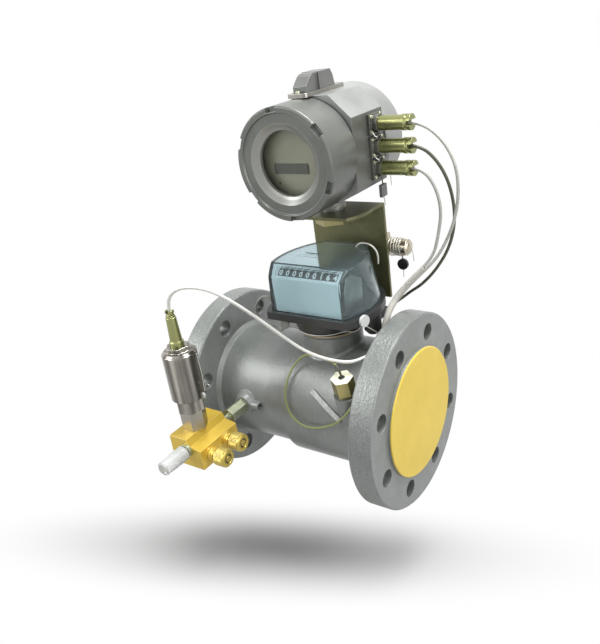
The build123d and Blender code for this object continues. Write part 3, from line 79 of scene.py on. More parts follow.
camera = bpy.data.objects.new("camera", bpy.data.cameras.new("camera"))
camera.matrix_world = Matrix.Translation(eye) @ Matrix((right, up, back)).transposed().to_4x4()
camera.data.lens = 38.01
camera.data.sensor_width = 36
camera.data.clip_end = 50
bpy.context.scene.collection.objects.link(camera)
bpy.context.scene.camera = camera
print("camera at", [round(v, 3) for v in eye])

# %% [markdown]
# ## Leads
# Each lead is a fixed length of soft cable. It could be a swept mesh, but a curve is simpler: a
# NURBS of order 3 runs smoothly inside the corners of a few given points, with the easy bends of
# real cable, and a bevel gives it its thickness.

# %% Lead helpers
def smooth_bar(name, points, radius, roundness, smoothness):
    """A round bar whose line runs smoothly inside the corners of the points."""
    curve = bpy.data.curves.new(name, "CURVE")
    curve.dimensions = "3D"
    curve.bevel_depth = 1
    curve.bevel_resolution = roundness
    curve.use_fill_caps = True
    spline = curve.splines.new("NURBS")
    spline.points.add(len(points) - 1)
    for slot, point in zip(spline.points, points):
        slot.co = (*point, 1)
        slot.radius = radius
    spline.order_u = 3
    spline.use_endpoint_u = True
    spline.resolution_u = smoothness
    piece = bpy.data.objects.new(name, curve)
    bpy.context.scene.collection.objects.link(piece)
    return piece


def lead(name, points, diameter, cad_node):
    """A cable along given points, in place of its plain CAD tube."""
    piece = smooth_bar(name, points, diameter / 2, 5, 10)
    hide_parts(cad_node)
    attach(piece, "meter")
    line = piece.data.copy()
    line.bevel_depth = 0
    probe = bpy.data.objects.new("probe", line)
    flat = bpy.data.meshes.new_from_object(probe)
    bpy.data.objects.remove(probe)
    return piece


# %% The leads
pressure_lead = lead("pressure_cable", [
    (0.057, -0.13, 0.137), (0.057, -0.13, 0.149), (0.063, -0.13, 0.161), (0.077, -0.127, 0.1685),
    (0.097, -0.117, 0.165), (0.113, -0.103, 0.148), (0.126, -0.083, 0.121), (0.136, -0.064, 0.095),
    (0.151, -0.059, 0.083), (0.171, -0.0595, 0.0789), (0.19, -0.058, 0.0773), (0.203, -0.056, 0.0785),
    (0.21, -0.047, 0.0795), (0.2095, -0.034, 0.077), (0.208, -0.019, 0.0745), (0.207, -0.0067, 0.0793),
    (0.207, -0.00205, 0.0879),
], 0.0032, "pressure_lead")
temperature_lead = lead("temperature_cable", [
    (0.1939, -0.06416, 0.06456), (0.1939, -0.06493, 0.06818), (0.1926, -0.0647, 0.0716),
    (0.1903, -0.0634, 0.0742), (0.1874, -0.0614, 0.0754), (0.182, -0.0571, 0.0746),
    (0.1715, -0.0495, 0.071), (0.155, -0.045, 0.0705), (0.138, -0.042, 0.068), (0.1275, -0.0435, 0.058),
    (0.123, -0.051, 0.0495), (0.1213, -0.059, 0.0383), (0.1223, -0.065, 0.026), (0.128, -0.0688, 0.0135),
    (0.1373, -0.07, 0.0047), (0.15, -0.07, 0.0008), (0.1674, -0.07, 0.0053), (0.184, -0.0705, 0.0143),
    (0.1946, -0.0715, 0.0245), (0.2048, -0.072, 0.0369), (0.2105, -0.067, 0.049), (0.211, -0.054, 0.0595),
    (0.2108, -0.038, 0.066), (0.2103, -0.02, 0.07), (0.2102, -0.0067, 0.0793), (0.2102, -0.00205, 0.0879),
], 0.0022, "temperature_lead")
pulse_lead = lead("pulse_cable", [
    (0.2255, 0.035, 0.2562), (0.24, 0.035, 0.2562), (0.2545, 0.039, 0.241), (0.264, 0.042, 0.218),
    (0.267, 0.043, 0.188), (0.26, 0.043, 0.16), (0.245, 0.043, 0.136), (0.228, 0.045, 0.118),
    (0.214, 0.048, 0.108), (0.204, 0.051, 0.0995), (0.196, 0.0405, 0.0945), (0.196, 0.027, 0.0945),
], 0.003, "pulse_lead")
top_lead = lead("top_plug_cable", [
    (0.2255, 0.035, 0.2765), (0.24, 0.035, 0.2765), (0.259, 0.0365, 0.263), (0.272, 0.037, 0.24),
    (0.2735, 0.037, 0.211), (0.2675, 0.037, 0.185), (0.257, 0.037, 0.163), (0.2476, 0.0344, 0.1482),
    (0.23925, 0.032, 0.13995),
], 0.003, "plug_lead_top")
bottom_lead = lead("bottom_plug_cable", [
    (0.2255, 0.035, 0.2359), (0.239, 0.035, 0.2359), (0.251, 0.036, 0.222), (0.257, 0.036, 0.199),
    (0.2525, 0.036, 0.174), (0.2466, 0.0348, 0.152), (0.2369, 0.032, 0.1423),
], 0.003, "plug_lead_bottom")
sleeve = lead("shrink_sleeve", [
    (0.238, 0.032, 0.141), (0.224, 0.028, 0.127), (0.2125, 0.02, 0.113), (0.2085, 0.005, 0.101),
    (0.2085, -0.002, 0.088),
], 0.0064, "lead_sleeve")

# %% [markdown]
# ## Floor and light
# A pack shot stands on a white sweep. A bent backdrop could be modelled, but its own shading would
# show. Here the floor takes the shadow under the meter, darkened by a painted grey oval, and fades
# into the white world further out, so the picture has no horizon. Light Path tells camera, mirror
# and glass rays apart from the rays that carry light, so the white never brightens the meter itself.

# %% Node helpers
def combine(tree, kind, operation, first, second):
    """A node with an operation, whose inputs are sockets or plain values."""
    node = tree.nodes.new(kind)
    node.operation = operation
    for slot, value in ((0, first), (1, second)):
        if isinstance(value, bpy.types.NodeSocket):
            tree.links.new(value, node.inputs[slot])
        elif value is not None:
            node.inputs[slot].default_value = value
    return node


def math_node(tree, operation, first, second=None):
    """The result of a Math node."""
    return combine(tree, "ShaderNodeMath", operation, first, second).outputs[0]


def vector_node(tree, operation, first, second):
    """What a Vector Math node gives: a Vector, or the Value of a product or distance."""
    node = combine(tree, "ShaderNodeVectorMath", operation, first, second)
    return node.outputs["Value" if operation in ("DOT_PRODUCT", "DISTANCE") else "Vector"]


def seen_rays(tree):
    """One where the ray is seen: straight, in a mirror or through glass."""
    path = tree.nodes.new("ShaderNodeLightPath")
    seen = math_node(tree, "MAXIMUM", path.outputs["Is Camera Ray"], path.outputs["Is Glossy Ray"])
    return math_node(tree, "MAXIMUM", seen, path.outputs["Is Transmission Ray"])


def blend_out(tree, share, first, second, output):
    """Mixes two shaders and sends the result to the tree's output."""
    blend = tree.nodes.new("ShaderNodeMixShader")
    out = tree.nodes.new(output)
    tree.links.new(share, blend.inputs["Fac"])
    tree.links.new(first.outputs[0], blend.inputs[1])
    tree.links.new(second.outputs[0], blend.inputs[2])
    tree.links.new(blend.outputs[0], out.inputs["Surface"])


# %% White world
room_light = (0.97, 1.0, 0.97, 1)
room_strength = 0.27

world = bpy.data.worlds.new("white_room")
world.use_nodes = True
bpy.context.scene.world = world
tree = world.node_tree
tree.nodes.clear()
skies = []
for colour, strength in ((room_light, room_strength), ((1, 1, 1, 1), 1.0)):
    sky = tree.nodes.new("ShaderNodeBackground")
    sky.inputs["Color"].default_value = colour
    sky.inputs["Strength"].default_value = strength
    skies.append(sky)
blend_out(tree, seen_rays(tree), *skies, "ShaderNodeOutputWorld")
print("the world lights the meter at", room_strength, "and is seen at 1")

# %% [markdown]
# ### Floor
# The floor is matt grey in a soft oval under the meter, a painted shadow laid where the cast shadow
# falls, and glows white outside it. The oval's two half axes are given as directions, each as long
# as one over the reach along it.

# %% White floor
floor_z = -0.205
painted_shadow_grey = (0.3, 0.3, 0.3, 1)
shadow_middle = (0.046, -0.062, floor_z)
shadow_axes = ((1.87, 1.38, 0), (-4.2, 9.7, 0))
shadow_softness = 2.6

bpy.ops.mesh.primitive_circle_add(vertices=96, radius=8, fill_type="NGON", location=(0.12, 0, floor_z))
floor = bpy.context.object
floor.name = "floor"
sweep = bpy.data.materials.new("floor_with_painted_shadow")
sweep.use_nodes = True
tree = sweep.node_tree
tree.nodes.clear()
# The grey inside the oval is a painted shadow, lying under the cast shadow from the lamps.
matt = tree.nodes.new("ShaderNodeBsdfDiffuse")
matt.inputs["Color"].default_value = painted_shadow_grey
glow = tree.nodes.new("ShaderNodeEmission")
place = tree.nodes.new("ShaderNodeNewGeometry")
offset = vector_node(tree, "SUBTRACT", place.outputs["Position"], shadow_middle)
squares = []
for axis in shadow_axes:
    along = vector_node(tree, "DOT_PRODUCT", offset, axis)
    squares.append(math_node(tree, "POWER", along, 2.0))
inside = math_node(tree, "SUBTRACT", 1.0, math_node(tree, "ADD", *squares))
inside.node.use_clamp = True
fade = math_node(tree, "SUBTRACT", 1.0, math_node(tree, "POWER", inside, shadow_softness))
white_share = math_node(tree, "MULTIPLY", fade, seen_rays(tree))
blend_out(tree, white_share, matt, glow, "ShaderNodeOutputMaterial")
floor.data.materials.append(sweep)
print("floor at", floor_z)

# %% [markdown]
# ### Lamps
# Such a picture is lit by large soft boxes, which draw broad gleams on metal. Area lamps do the
# same, where a sun would give hard shadows. The strongest hangs above and a little behind, so the
# shadow falls to the front, and three weaker ones open the sides.

# %% Lamps
middle = (0.12, -0.02, 0.08)
for name, place, aim, width, height, power in (
    ("top_box", (0.42, 0.26, 1.45), (0.12, 0, 0.02), 0.75, 0.75, 42),
    ("front_box", (-0.15, -1.5, 0.9), middle, 0.9, 1.1, 4),
    ("right_box", (1.5, -0.3, 0.5), middle, 0.8, 1.2, 11),
    ("left_box", (-0.9, -0.95, 0.9), middle, 0.7, 0.9, 15),
):
    lamp = bpy.data.lights.new(name, "AREA")
    lamp.shape = "RECTANGLE"
    lamp.size = width
    lamp.size_y = height
    lamp.energy = power
    holder = bpy.data.objects.new(name, lamp)
    holder.location = place
    holder.rotation_euler = (Vector(aim) - Vector(place)).to_track_quat("-Z", "Y").to_euler()
    bpy.context.scene.collection.objects.link(holder)
    print(name, power, "W")
bpy.context.scene.view_settings.view_transform = "Standard"

# %% [markdown]
# ## Shared effects
# Several finishes share the same tricks: an edge that has lost its coating, fine cast grain, turned
# lines and blotches. They could be drawn anew in each material, but a node group is built once,
# with named sockets, so a material only sets its numbers.

# %% Group helpers
def effect(name, inputs, outputs):
    """An empty node group with named float inputs and named outputs."""
    group = bpy.data.node_groups.new(name, "ShaderNodeTree")
    for label, value in inputs:
        socket = group.interface.new_socket(label, in_out="INPUT", socket_type="NodeSocketFloat")
        socket.default_value = value
    for label, kind in outputs:
        group.interface.new_socket(label, in_out="OUTPUT", socket_type=kind)
    start = group.nodes.new("NodeGroupInput")
    end = group.nodes.new("NodeGroupOutput")
    print("effect", name, "with", [label for label, value in inputs])
    return group, start, end


def object_place(tree):
    """The place on the piece, which stays with it when it moves."""
    return tree.nodes.new("ShaderNodeTexCoord").outputs["Object"]


def noise(tree, place, scale, detail=2.0):
    """Grey noise at a place; its scale is a socket or a plain number."""
    node = tree.nodes.new("ShaderNodeTexNoise")
    node.inputs["Detail"].default_value = detail
    tree.links.new(place, node.inputs["Vector"])
    if isinstance(scale, float):
        node.inputs["Scale"].default_value = scale
    else:
        tree.links.new(scale, node.inputs["Scale"])
    return node.outputs["Fac"]


# %% [markdown]
# ### Edge wear
# Paint is thin on a sharp edge, and the metal gleams there. Pointiness would need a dense mesh. A
# Bevel node works on plain solids: where its rounded normal leans away from the flat one there is
# an edge, and noise breaks the worn line up.

# %% Edge wear
edge_gain = 14.0
edge_wear, start, end = effect(
    "edge_wear", [("Radius", 0.0006), ("Breakup", 400.0)],
    [("Mask", "NodeSocketFloat"), ("Normal", "NodeSocketVector")],
)
bevel = edge_wear.nodes.new("ShaderNodeBevel")
bevel.samples = 4
flat = edge_wear.nodes.new("ShaderNodeNewGeometry")
edge_wear.links.new(start.outputs["Radius"], bevel.inputs["Radius"])
agreement = vector_node(edge_wear, "DOT_PRODUCT", bevel.outputs[0], flat.outputs["Normal"])
specks = noise(edge_wear, object_place(edge_wear), start.outputs["Breakup"])
bent = math_node(edge_wear, "MULTIPLY", math_node(edge_wear, "SUBTRACT", 1.0, agreement), edge_gain)
broken = math_node(edge_wear, "MULTIPLY", bent, specks)
edge_wear.links.new(math_node(edge_wear, "SMOOTH_MIN", broken, 1.0), end.inputs["Mask"])
edge_wear.links.new(bevel.outputs[0], end.inputs["Normal"])

# %% [markdown]
# ### Cast grain and blotches
# A cast or coated surface is never quite even, in height or in tone. Displacement would move the
# solid's surface, so a fine noise is given as a height for a Bump node, and a broad one as the tone.

# %% Cast grain and blotches
cast_grain, start, end = effect(
    "cast_grain", [("Size", 900.0), ("Blotch", 30.0)],
    [("Height", "NodeSocketFloat"), ("Tone", "NodeSocketFloat")],
)
where = object_place(cast_grain)
fine = noise(cast_grain, where, start.outputs["Size"], 3.0)
broad = noise(cast_grain, where, start.outputs["Blotch"], 4.0)
broad.node.inputs["Roughness"].default_value = 0.6
cast_grain.links.new(fine, end.inputs["Height"])
cast_grain.links.new(broad, end.inputs["Tone"])

# %% [markdown]
# ### Turned lines
# A lathe leaves fine lines round a piece. A Wave texture would be too regular, so noise is squeezed
# along one axis: the higher an axis's number, the closer the lines stand along it.

# %% Turned lines
turned_lines, start, end = effect(
    "turned_lines", [("Along X", 200.0), ("Along Y", 200.0), ("Along Z", 2500.0)],
    [("Height", "NodeSocketFloat")],
)
pack = turned_lines.nodes.new("ShaderNodeCombineXYZ")
for axis in "XYZ":
    turned_lines.links.new(start.outputs[f"Along {axis}"], pack.inputs[axis])
stretched = vector_node(turned_lines, "MULTIPLY", object_place(turned_lines), pack.outputs[0])
turned_lines.links.new(noise(turned_lines, stretched, 1.0), end.inputs["Height"])

# %% [markdown]
# ## Finishes
# One function lays out the plain skeleton of a finish: a Principled shader, rounded edges from the
# edge group, two tones mixed by broad blotches, and a little bump from a grain or line group. Each
# finish below then only says how its real surface differs. A roughness that is the same all over
# sits on the shader's own socket, where an export keeps it.

# %% Finish helpers
def use(tree, group, **values):
    """Places an effect group in a material and sets its numbers."""
    node = tree.nodes.new("ShaderNodeGroup")
    node.node_tree = group
    for label, value in values.items():
        node.inputs[label.replace("_", " ")].default_value = value
    return node


def line_height(tree, along):
    """Turned lines, as close along x, y and z as the three numbers say."""
    return use(tree, turned_lines, Along_X=along[0], Along_Y=along[1], Along_Z=along[2]).outputs["Height"]


def share_between(tree, value, low, high):
    """How far a value has come from low to high, from 0 to 1."""
    node = tree.nodes.new("ShaderNodeMapRange")
    node.inputs["From Min"].default_value = low
    node.inputs["From Max"].default_value = high
    tree.links.new(value, node.inputs["Value"])
    return node.outputs["Result"]


def mix_tones(tree, share, first, second):
    """Two colours mixed by share; each is a socket or three numbers."""
    node = tree.nodes.new("ShaderNodeMix")
    node.data_type = "RGBA"
    for label, value in (("A", first), ("B", second)):
        if isinstance(value, tuple):
            node.inputs[label].default_value = (*value, 1)
        else:
            tree.links.new(value, node.inputs[label])
    tree.links.new(share, node.inputs["Factor"])
    return node.outputs["Result"]


def new_material(name):
    """A material, its node tree and the inputs of its Principled shader."""
    material = bpy.data.materials.new(name)
    material.use_nodes = True
    return material, material.node_tree, material.node_tree.nodes["Principled BSDF"].inputs


def add_relief(tree, height, strength, distance):
    """Feeds a height to the shader through a Bump node, which it returns."""
    node = tree.nodes.new("ShaderNodeBump")
    node.inputs["Strength"].default_value = strength
    node.inputs["Distance"].default_value = distance
    tree.links.new(height, node.inputs["Height"])
    tree.links.new(node.outputs["Normal"], tree.nodes["Principled BSDF"].inputs["Normal"])
    return node


def finish(name, tone, tone_2, rough, rough_2=None, metal=0.0, worn=None, wear=0.0, edge=0.0005,
           grain=900.0, blotch=30.0, bump=0.05, lines=None, specular=0.5):
    """A two-tone Principled material with rounded, worn edges and fine relief."""
    material, tree, shader = new_material(name)
    shader["Metallic"].default_value = metal
    shader["Specular IOR Level"].default_value = specular
    surface = use(tree, cast_grain, Size=grain, Blotch=blotch)
    edges = use(tree, edge_wear, Radius=edge)
    blotches = share_between(tree, surface.outputs["Tone"], 0.35, 0.65)
    colour = mix_tones(tree, blotches, tone, tone_2)
    if worn is not None:
        rubbed = math_node(tree, "MULTIPLY", edges.outputs["Mask"], wear)
        colour = mix_tones(tree, rubbed, colour, worn)
    tree.links.new(colour, shader["Base Color"])
    if rough_2 is None:
        shader["Roughness"].default_value = rough
    else:
        shine = tree.nodes.new("ShaderNodeMapRange")
        shine.inputs["To Min"].default_value = rough
        shine.inputs["To Max"].default_value = rough_2
        tree.links.new(surface.outputs["Tone"], shine.inputs["Value"])
        tree.links.new(shine.outputs["Result"], shader["Roughness"])
    height = surface.outputs["Height"] if lines is None else line_height(tree, lines)
    relief = add_relief(tree, height, bump, 0.0004)
    tree.links.new(edges.outputs["Normal"], relief.inputs["Normal"])
    return material


def second_tone(material, mask, tone):
    """Lays another tone over the base colour where mask is one."""
    tree = material.node_tree
    base = tree.nodes["Principled BSDF"].inputs["Base Color"]
    tree.links.new(mix_tones(tree, mask, base.links[0].from_socket, tone), base)


# %% [markdown]
# ### Body enamel
# The casting is sprayed with mid-grey enamel. Its pipe was turned before painting, so faint rings
# run round it under a slight orange peel, and a lighter tone on them is a painted sheen. The flange
# rims show a coarse, pebbled coat. They could have their own material, but they are one solid with
# the pipe, so a mask made from the distance to the pipe axis deepens the grain there and adds dark pits.

# %% Body enamel
rim_start = 0.0975
rim_full = 0.099
pipe_relief = 0.5
more_at_rim = 0.5
finishes = {}
grey = finish("grey_enamel", (0.185, 0.197, 0.188), (0.226, 0.238, 0.23), 0.3, rough_2=0.42, metal=0.25,
              worn=(0.42, 0.44, 0.43), wear=0.35, edge=0.0009, grain=380.0, blotch=22.0)
tree = grey.node_tree
relief = tree.nodes["Bump"].inputs
place = object_place(tree)
split = tree.nodes.new("ShaderNodeSeparateXYZ")
tree.links.new(place, split.inputs[0])
square_y = math_node(tree, "POWER", split.outputs["Y"], 2.0)
square_z = math_node(tree, "POWER", split.outputs["Z"], 2.0)
radius = math_node(tree, "SQRT", math_node(tree, "ADD", square_y, square_z))
rim = share_between(tree, radius, rim_start, rim_full)
deeper = math_node(tree, "MULTIPLY", rim, more_at_rim)
tree.links.new(math_node(tree, "ADD", deeper, pipe_relief), relief["Strength"])
print("rims beyond a radius of", rim_start)

# %% Rings on the pipe and pits on the rims
ring_relief = 1.1
ring_sheen_share = 0.28
pit_share = 0.8
rings = line_height(tree, (520.0, 70.0, 70.0))
grain_height = relief["Height"].links[0].from_socket
ring_height = math_node(tree, "MULTIPLY", rings, ring_relief)
tree.links.new(math_node(tree, "ADD", grain_height, ring_height), relief["Height"])
# The lighter tone on the rings is a painted sheen, streaks of highlight round the pipe.
ring_sheen_mask = math_node(tree, "MULTIPLY", share_between(tree, rings, 0.5, 0.72), ring_sheen_share)
second_tone(grey, ring_sheen_mask, (0.29, 0.305, 0.3))
pits = share_between(tree, noise(tree, place, 1000.0), 0.46, 0.64)
pit_mask = math_node(tree, "MULTIPLY", math_node(tree, "MULTIPLY", rim, pits), pit_share)
second_tone(grey, pit_mask, (0.11, 0.117, 0.112))
finishes["grey_paint"] = grey
print(grey.name, "has", len(tree.nodes), "nodes")

# %% [markdown]
# ### Finishes by slot
# The record names a material slot for each solid. The corrector's coat is silver; further down, its
# front that faces the viewer gets a darker copy of it, which is painted shade. Yellow plastic,
# several platings and bare metals follow, each with its own wear and lines.

# %% Finishes by slot
silver = dict(tone=(0.248, 0.254, 0.248), tone_2=(0.296, 0.304, 0.294), rough=0.3, rough_2=0.44,
              metal=0.5, worn=(0.5, 0.51, 0.5), wear=0.5, edge=0.0007, grain=1100.0, bump=0.13)
finishes["cast_alloy"] = finish("silver_coat", **silver)
finishes["yellow_plastic"] = finish(
    "yellow_cover", (0.66, 0.475, 0.05), (0.72, 0.525, 0.078), 0.38, rough_2=0.5, grain=1500.0, bump=0.04)
finishes["light_alloy"] = finish(
    "cartridge_alloy", (0.55, 0.56, 0.57), (0.6, 0.61, 0.62), 0.35, metal=1.0, lines=(2500, 300, 300),
    bump=0.06)
finishes["turned_alloy"] = finish(
    "rotor_alloy", (0.66, 0.67, 0.68), (0.72, 0.72, 0.73), 0.25, metal=1.0, bump=0.03)
finishes["steel"] = finish(
    "bright_steel", (0.185, 0.175, 0.158), (0.36, 0.345, 0.315), 0.14, rough_2=0.3, metal=1.0,
    worn=(0.75, 0.73, 0.7), wear=0.6, blotch=60.0, lines=(3500, 3500, 60), bump=0.07)
finishes["black_plastic"] = finish(
    "black_moulding", (0.012, 0.013, 0.013), (0.02, 0.021, 0.021), 0.3, rough_2=0.42,
    worn=(0.07, 0.07, 0.07), wear=0.4)
finishes["pale_plate"] = finish(
    "pale_plate", (0.68, 0.74, 0.74), (0.74, 0.79, 0.79), 0.34, metal=0.25, bump=0.02)
finishes["yellow_zinc"] = finish(
    "bracket_zinc", (0.1, 0.1, 0.048), (0.145, 0.14, 0.065), 0.3, rough_2=0.46, metal=0.55,
    worn=(0.32, 0.31, 0.18), wear=0.7, blotch=45.0)
finishes["brass"] = finish(
    "bright_brass", (0.58, 0.4, 0.05), (0.68, 0.475, 0.068), 0.26, rough_2=0.4, metal=0.4,
    worn=(0.98, 0.82, 0.42), wear=0.7, lines=(260, 2600, 260))
finishes["dark_steel"] = finish(
    "socket_steel", (0.1, 0.105, 0.09), (0.17, 0.17, 0.15), 0.3, rough_2=0.45, metal=0.85,
    worn=(0.42, 0.42, 0.38), wear=0.6)
finishes["gold_zinc"] = finish(
    "plug_zinc", (0.265, 0.275, 0.115), (0.315, 0.325, 0.14), 0.24, rough_2=0.3, metal=0.85,
    worn=(0.7, 0.68, 0.4), wear=0.5, blotch=40.0, bump=0.0)
finishes["olive_zinc"] = finish(
    "nipple_zinc", (0.36, 0.39, 0.27), (0.46, 0.49, 0.35), 0.26, rough_2=0.4, metal=0.9,
    worn=(0.6, 0.6, 0.45), wear=0.7, bump=0.06)
finishes["white_lead"] = finish("white_sheath", (0.66, 0.655, 0.62), (0.72, 0.715, 0.68), 0.45, bump=0.03)
finishes["olive_lead"] = finish("olive_sheath", (0.17, 0.19, 0.075), (0.22, 0.24, 0.1), 0.45, bump=0.03)
finishes["pale_sleeve"] = finish(
    "pale_sleeve", (0.4, 0.385, 0.35), (0.5, 0.48, 0.44), 0.5, grain=700.0, bump=0.3)
finishes["black_wheel"] = finish(
    "digit_drum", (0.008, 0.008, 0.008), (0.012, 0.012, 0.012), 0.4, bump=0.02)
print("finishes by slot:", len(finishes))

# %% [markdown]
# ### Finishes of single pieces
# Some pieces need a look that their slot doesn't give, such as the brass of the knobs or the
# corrector's front, whose darker coat is painted shade. Each gets a finish of its own.

# %% Finishes of single pieces
# The front cover gets the silver coat darkened: painted shade on the faces towards the viewer.
shaded_front_coat = finish(
    "shaded_front_coat", (0.12, 0.126, 0.115), (0.15, 0.156, 0.143), 0.26, rough_2=0.38,
    metal=0.5, worn=(0.4, 0.42, 0.4), wear=0.5, edge=0.0007, grain=1100.0, bump=0.1)
grey_lead = finish("grey_sheath", (0.42, 0.41, 0.38), (0.5, 0.49, 0.46), 0.45, bump=0.03)
dark_lead = finish("dark_sheath", (0.06, 0.062, 0.038), (0.085, 0.088, 0.055), 0.4, bump=0.03)
display_face = finish("display_face", (0.19, 0.19, 0.14), (0.225, 0.222, 0.165), 0.36, metal=0.3, bump=0.02)
neck_wire = finish("neck_wire", (0.36, 0.28, 0.15), (0.46, 0.36, 0.21), 0.35, metal=0.6, bump=0.03)
knob_brass = finish(
    "knob_brass", (0.4, 0.3, 0.055), (0.5, 0.38, 0.075), 0.3, rough_2=0.42, metal=0.6,
    worn=(0.95, 0.8, 0.42), wear=0.8, edge=0.0004, bump=0.06)
# Dark brass for the knob's groove and slot: painted shade in these hollows.
painted_groove_shade = finish("painted_groove_shade", (0.11, 0.085, 0.03), (0.16, 0.125, 0.045), 0.45, metal=0.4)
foot_brass = finish(
    "foot_brass", (0.24, 0.22, 0.1), (0.32, 0.29, 0.14), 0.28, rough_2=0.4, metal=0.9,
    worn=(0.6, 0.56, 0.36), wear=0.7)
warm_steel = finish(
    "warm_steel", (0.42, 0.38, 0.29), (0.55, 0.5, 0.4), 0.2, rough_2=0.34, metal=1.0,
    lines=(2600, 300, 300), bump=0.08)
dull_steel = finish(
    "dull_steel", (0.27, 0.26, 0.235), (0.35, 0.34, 0.31), 0.24, rough_2=0.36, metal=1.0,
    worn=(0.66, 0.65, 0.6), wear=0.6)
seal_wire = finish("seal_wire", (0.55, 0.54, 0.49), (0.64, 0.63, 0.58), 0.35, metal=0.4, bump=0.02)
grey_plastic = finish("grey_plastic", (0.2, 0.2, 0.185), (0.26, 0.26, 0.24), 0.45)
cap_grey = finish(
    "cap_grey", (0.135, 0.138, 0.132), (0.165, 0.17, 0.162), 0.3, rough_2=0.44, metal=0.4,
    worn=(0.36, 0.37, 0.36), wear=0.5, edge=0.0007, grain=1100.0, bump=0.12)
lead_metal = finish("lead_metal", (0.42, 0.43, 0.43), (0.52, 0.53, 0.53), 0.35, metal=0.8, bump=0.12)
print("materials so far:", len(bpy.data.materials))

# %% [markdown]
# ### Sensor steel
# The sensor's polished can mirrors its room in light and dark streaks. This plain studio has little
# to mirror, so broad lines, long in z, lay painted reflections over the steel, a lighter and a
# darker tone.

# %% Sensor steel
painted_reflection_share = 0.6
sensor_steel = finish(
    "sensor_steel", (0.2, 0.19, 0.17), (0.27, 0.255, 0.23), 0.15, rough_2=0.26, metal=1.0,
    worn=(0.8, 0.78, 0.72), wear=0.8, lines=(3500, 3500, 60), bump=0.06)
tree = sensor_steel.node_tree
bands = line_height(tree, (150.0, 150.0, 6.0))
# Each tone is a painted reflection, one light and one dark.
for starts, full, tone in ((0.5, 0.64, (0.55, 0.52, 0.46)), (0.47, 0.36, (0.06, 0.056, 0.046))):
    band = share_between(tree, bands, starts, full)
    second_tone(sensor_steel, math_node(tree, "MULTIPLY", band, painted_reflection_share), tone)
print(sensor_steel.name, "bands at", painted_reflection_share)

# %% [markdown]
# ### Finishes with a place
# Some pieces carry two tones on one solid. A mask made from the position chooses between them: the
# front cover's cone is lighter than its rim, whose darker coat is painted shade, the housing's flat
# pad under the sockets is darker, the seal tags are white at the index, black behind and grey below
# the plugs, the brass gland's end face carries a painted highlight, and the olive lead starts in a
# dark boot. UV maps could do this too, but the position needs none.

# %% Masks by place
def over(material, direction, limit):
    """One where the position, measured along direction, lies beyond limit."""
    tree = material.node_tree
    along = vector_node(tree, "DOT_PRODUCT", object_place(tree), direction)
    return math_node(tree, "GREATER_THAN", along, limit)


def near(material, centre, reach, axes=(1, 1, 1)):
    """One within reach of centre, measured along the chosen axes only."""
    tree = material.node_tree
    chosen = vector_node(tree, "MULTIPLY", object_place(tree), axes)
    kept_centre = [place * axis for place, axis in zip(centre, axes)]
    return math_node(tree, "LESS_THAN", vector_node(tree, "DISTANCE", chosen, kept_centre), reach)


# %% Corrector coats
corrector_axis = (0.1473, 0, 0.2572)
cone_reach = 0.0362
pad_side = 0.1944
# The rim keeps the painted shade, and the cone within reach gets a lighter tone.
cone_mask = near(shaded_front_coat, corrector_axis, cone_reach, (1, 0, 1))
second_tone(shaded_front_coat, cone_mask, (0.285, 0.29, 0.27))
housing_coat = finish("housing_coat", **silver)
second_tone(housing_coat, over(housing_coat, (1, 0, 0), pad_side), (0.135, 0.14, 0.128))
print("cone within", cone_reach, "and pad beyond", pad_side)

# %% Seal tags
white_tag_top = 0.118
grey_tag_foot = 0.19
tag_tones = finish("seal_tags", (0.012, 0.013, 0.013), (0.02, 0.021, 0.021), 0.4, bump=0.08)
second_tone(tag_tones, over(tag_tones, (0, 0, -1), -white_tag_top), (0.6, 0.61, 0.59))
second_tone(tag_tones, over(tag_tones, (0, 0, 1), grey_tag_foot), (0.13, 0.135, 0.13))
print("tags are white below", white_tag_top, "and grey above", grey_tag_foot)

# %% Gland and booted lead
gland_tilt = math.radians(12)
gland_axis = Vector((0, -math.sin(gland_tilt), math.cos(gland_tilt)))
gland_foot = Vector((0.1939, -0.06, 0.045))
gland_height = 0.02
gland_top = gland_foot + gland_axis * gland_height
face_depth = 0.0001
body_metal = 0.9
highlight_metal = 0.15
boot_reach = 0.013

gland_brass = finish(
    "gland_brass", (0.31, 0.27, 0.11), (0.42, 0.37, 0.16), 0.24, rough_2=0.34, metal=body_metal,
    worn=(0.85, 0.82, 0.6), wear=0.7, bump=0.04)
tree = gland_brass.node_tree
# A near-white, barely metallic end face is a painted highlight on the gland's top.
highlight_face = over(gland_brass, tuple(gland_axis), gland_top.dot(gland_axis) - face_depth)
second_tone(gland_brass, highlight_face, (0.92, 0.91, 0.72))
metal_change = math_node(tree, "MULTIPLY", highlight_face, highlight_metal - body_metal)
metal_left = math_node(tree, "ADD", metal_change, body_metal)
tree.links.new(metal_left, tree.nodes["Principled BSDF"].inputs["Metallic"])
booted_lead = finish("booted_lead", (0.23, 0.26, 0.09), (0.29, 0.32, 0.12), 0.45, bump=0.03)
second_tone(booted_lead, near(booted_lead, tuple(gland_top), boot_reach), (0.035, 0.037, 0.02))
print("gland's top at", [round(v, 4) for v in gland_top])

# %% [markdown]
# ### Clear mouldings
# These need light to pass through them. The index cover is clear blue-grey plastic and the round
# window is plain glass: both pass all or nearly all the light, and the cover has its tint in the
# base colour. The soft white cap over the test point passes only half. An alpha below one would be
# quicker to render, but it bends no light.

# %% Clear finishes
def clear(name, tint, rough, ior, weight=1.0):
    """A transmissive Principled material with the faintest ripple."""
    material, tree, shader = new_material(name)
    shader["Base Color"].default_value = (*tint, 1)
    shader["Roughness"].default_value = rough
    shader["IOR"].default_value = ior
    shader["Transmission Weight"].default_value = weight
    ripple = use(tree, cast_grain, Size=60.0, Blotch=20.0)
    add_relief(tree, ripple.outputs["Height"], 0.02, 0.001)
    return material


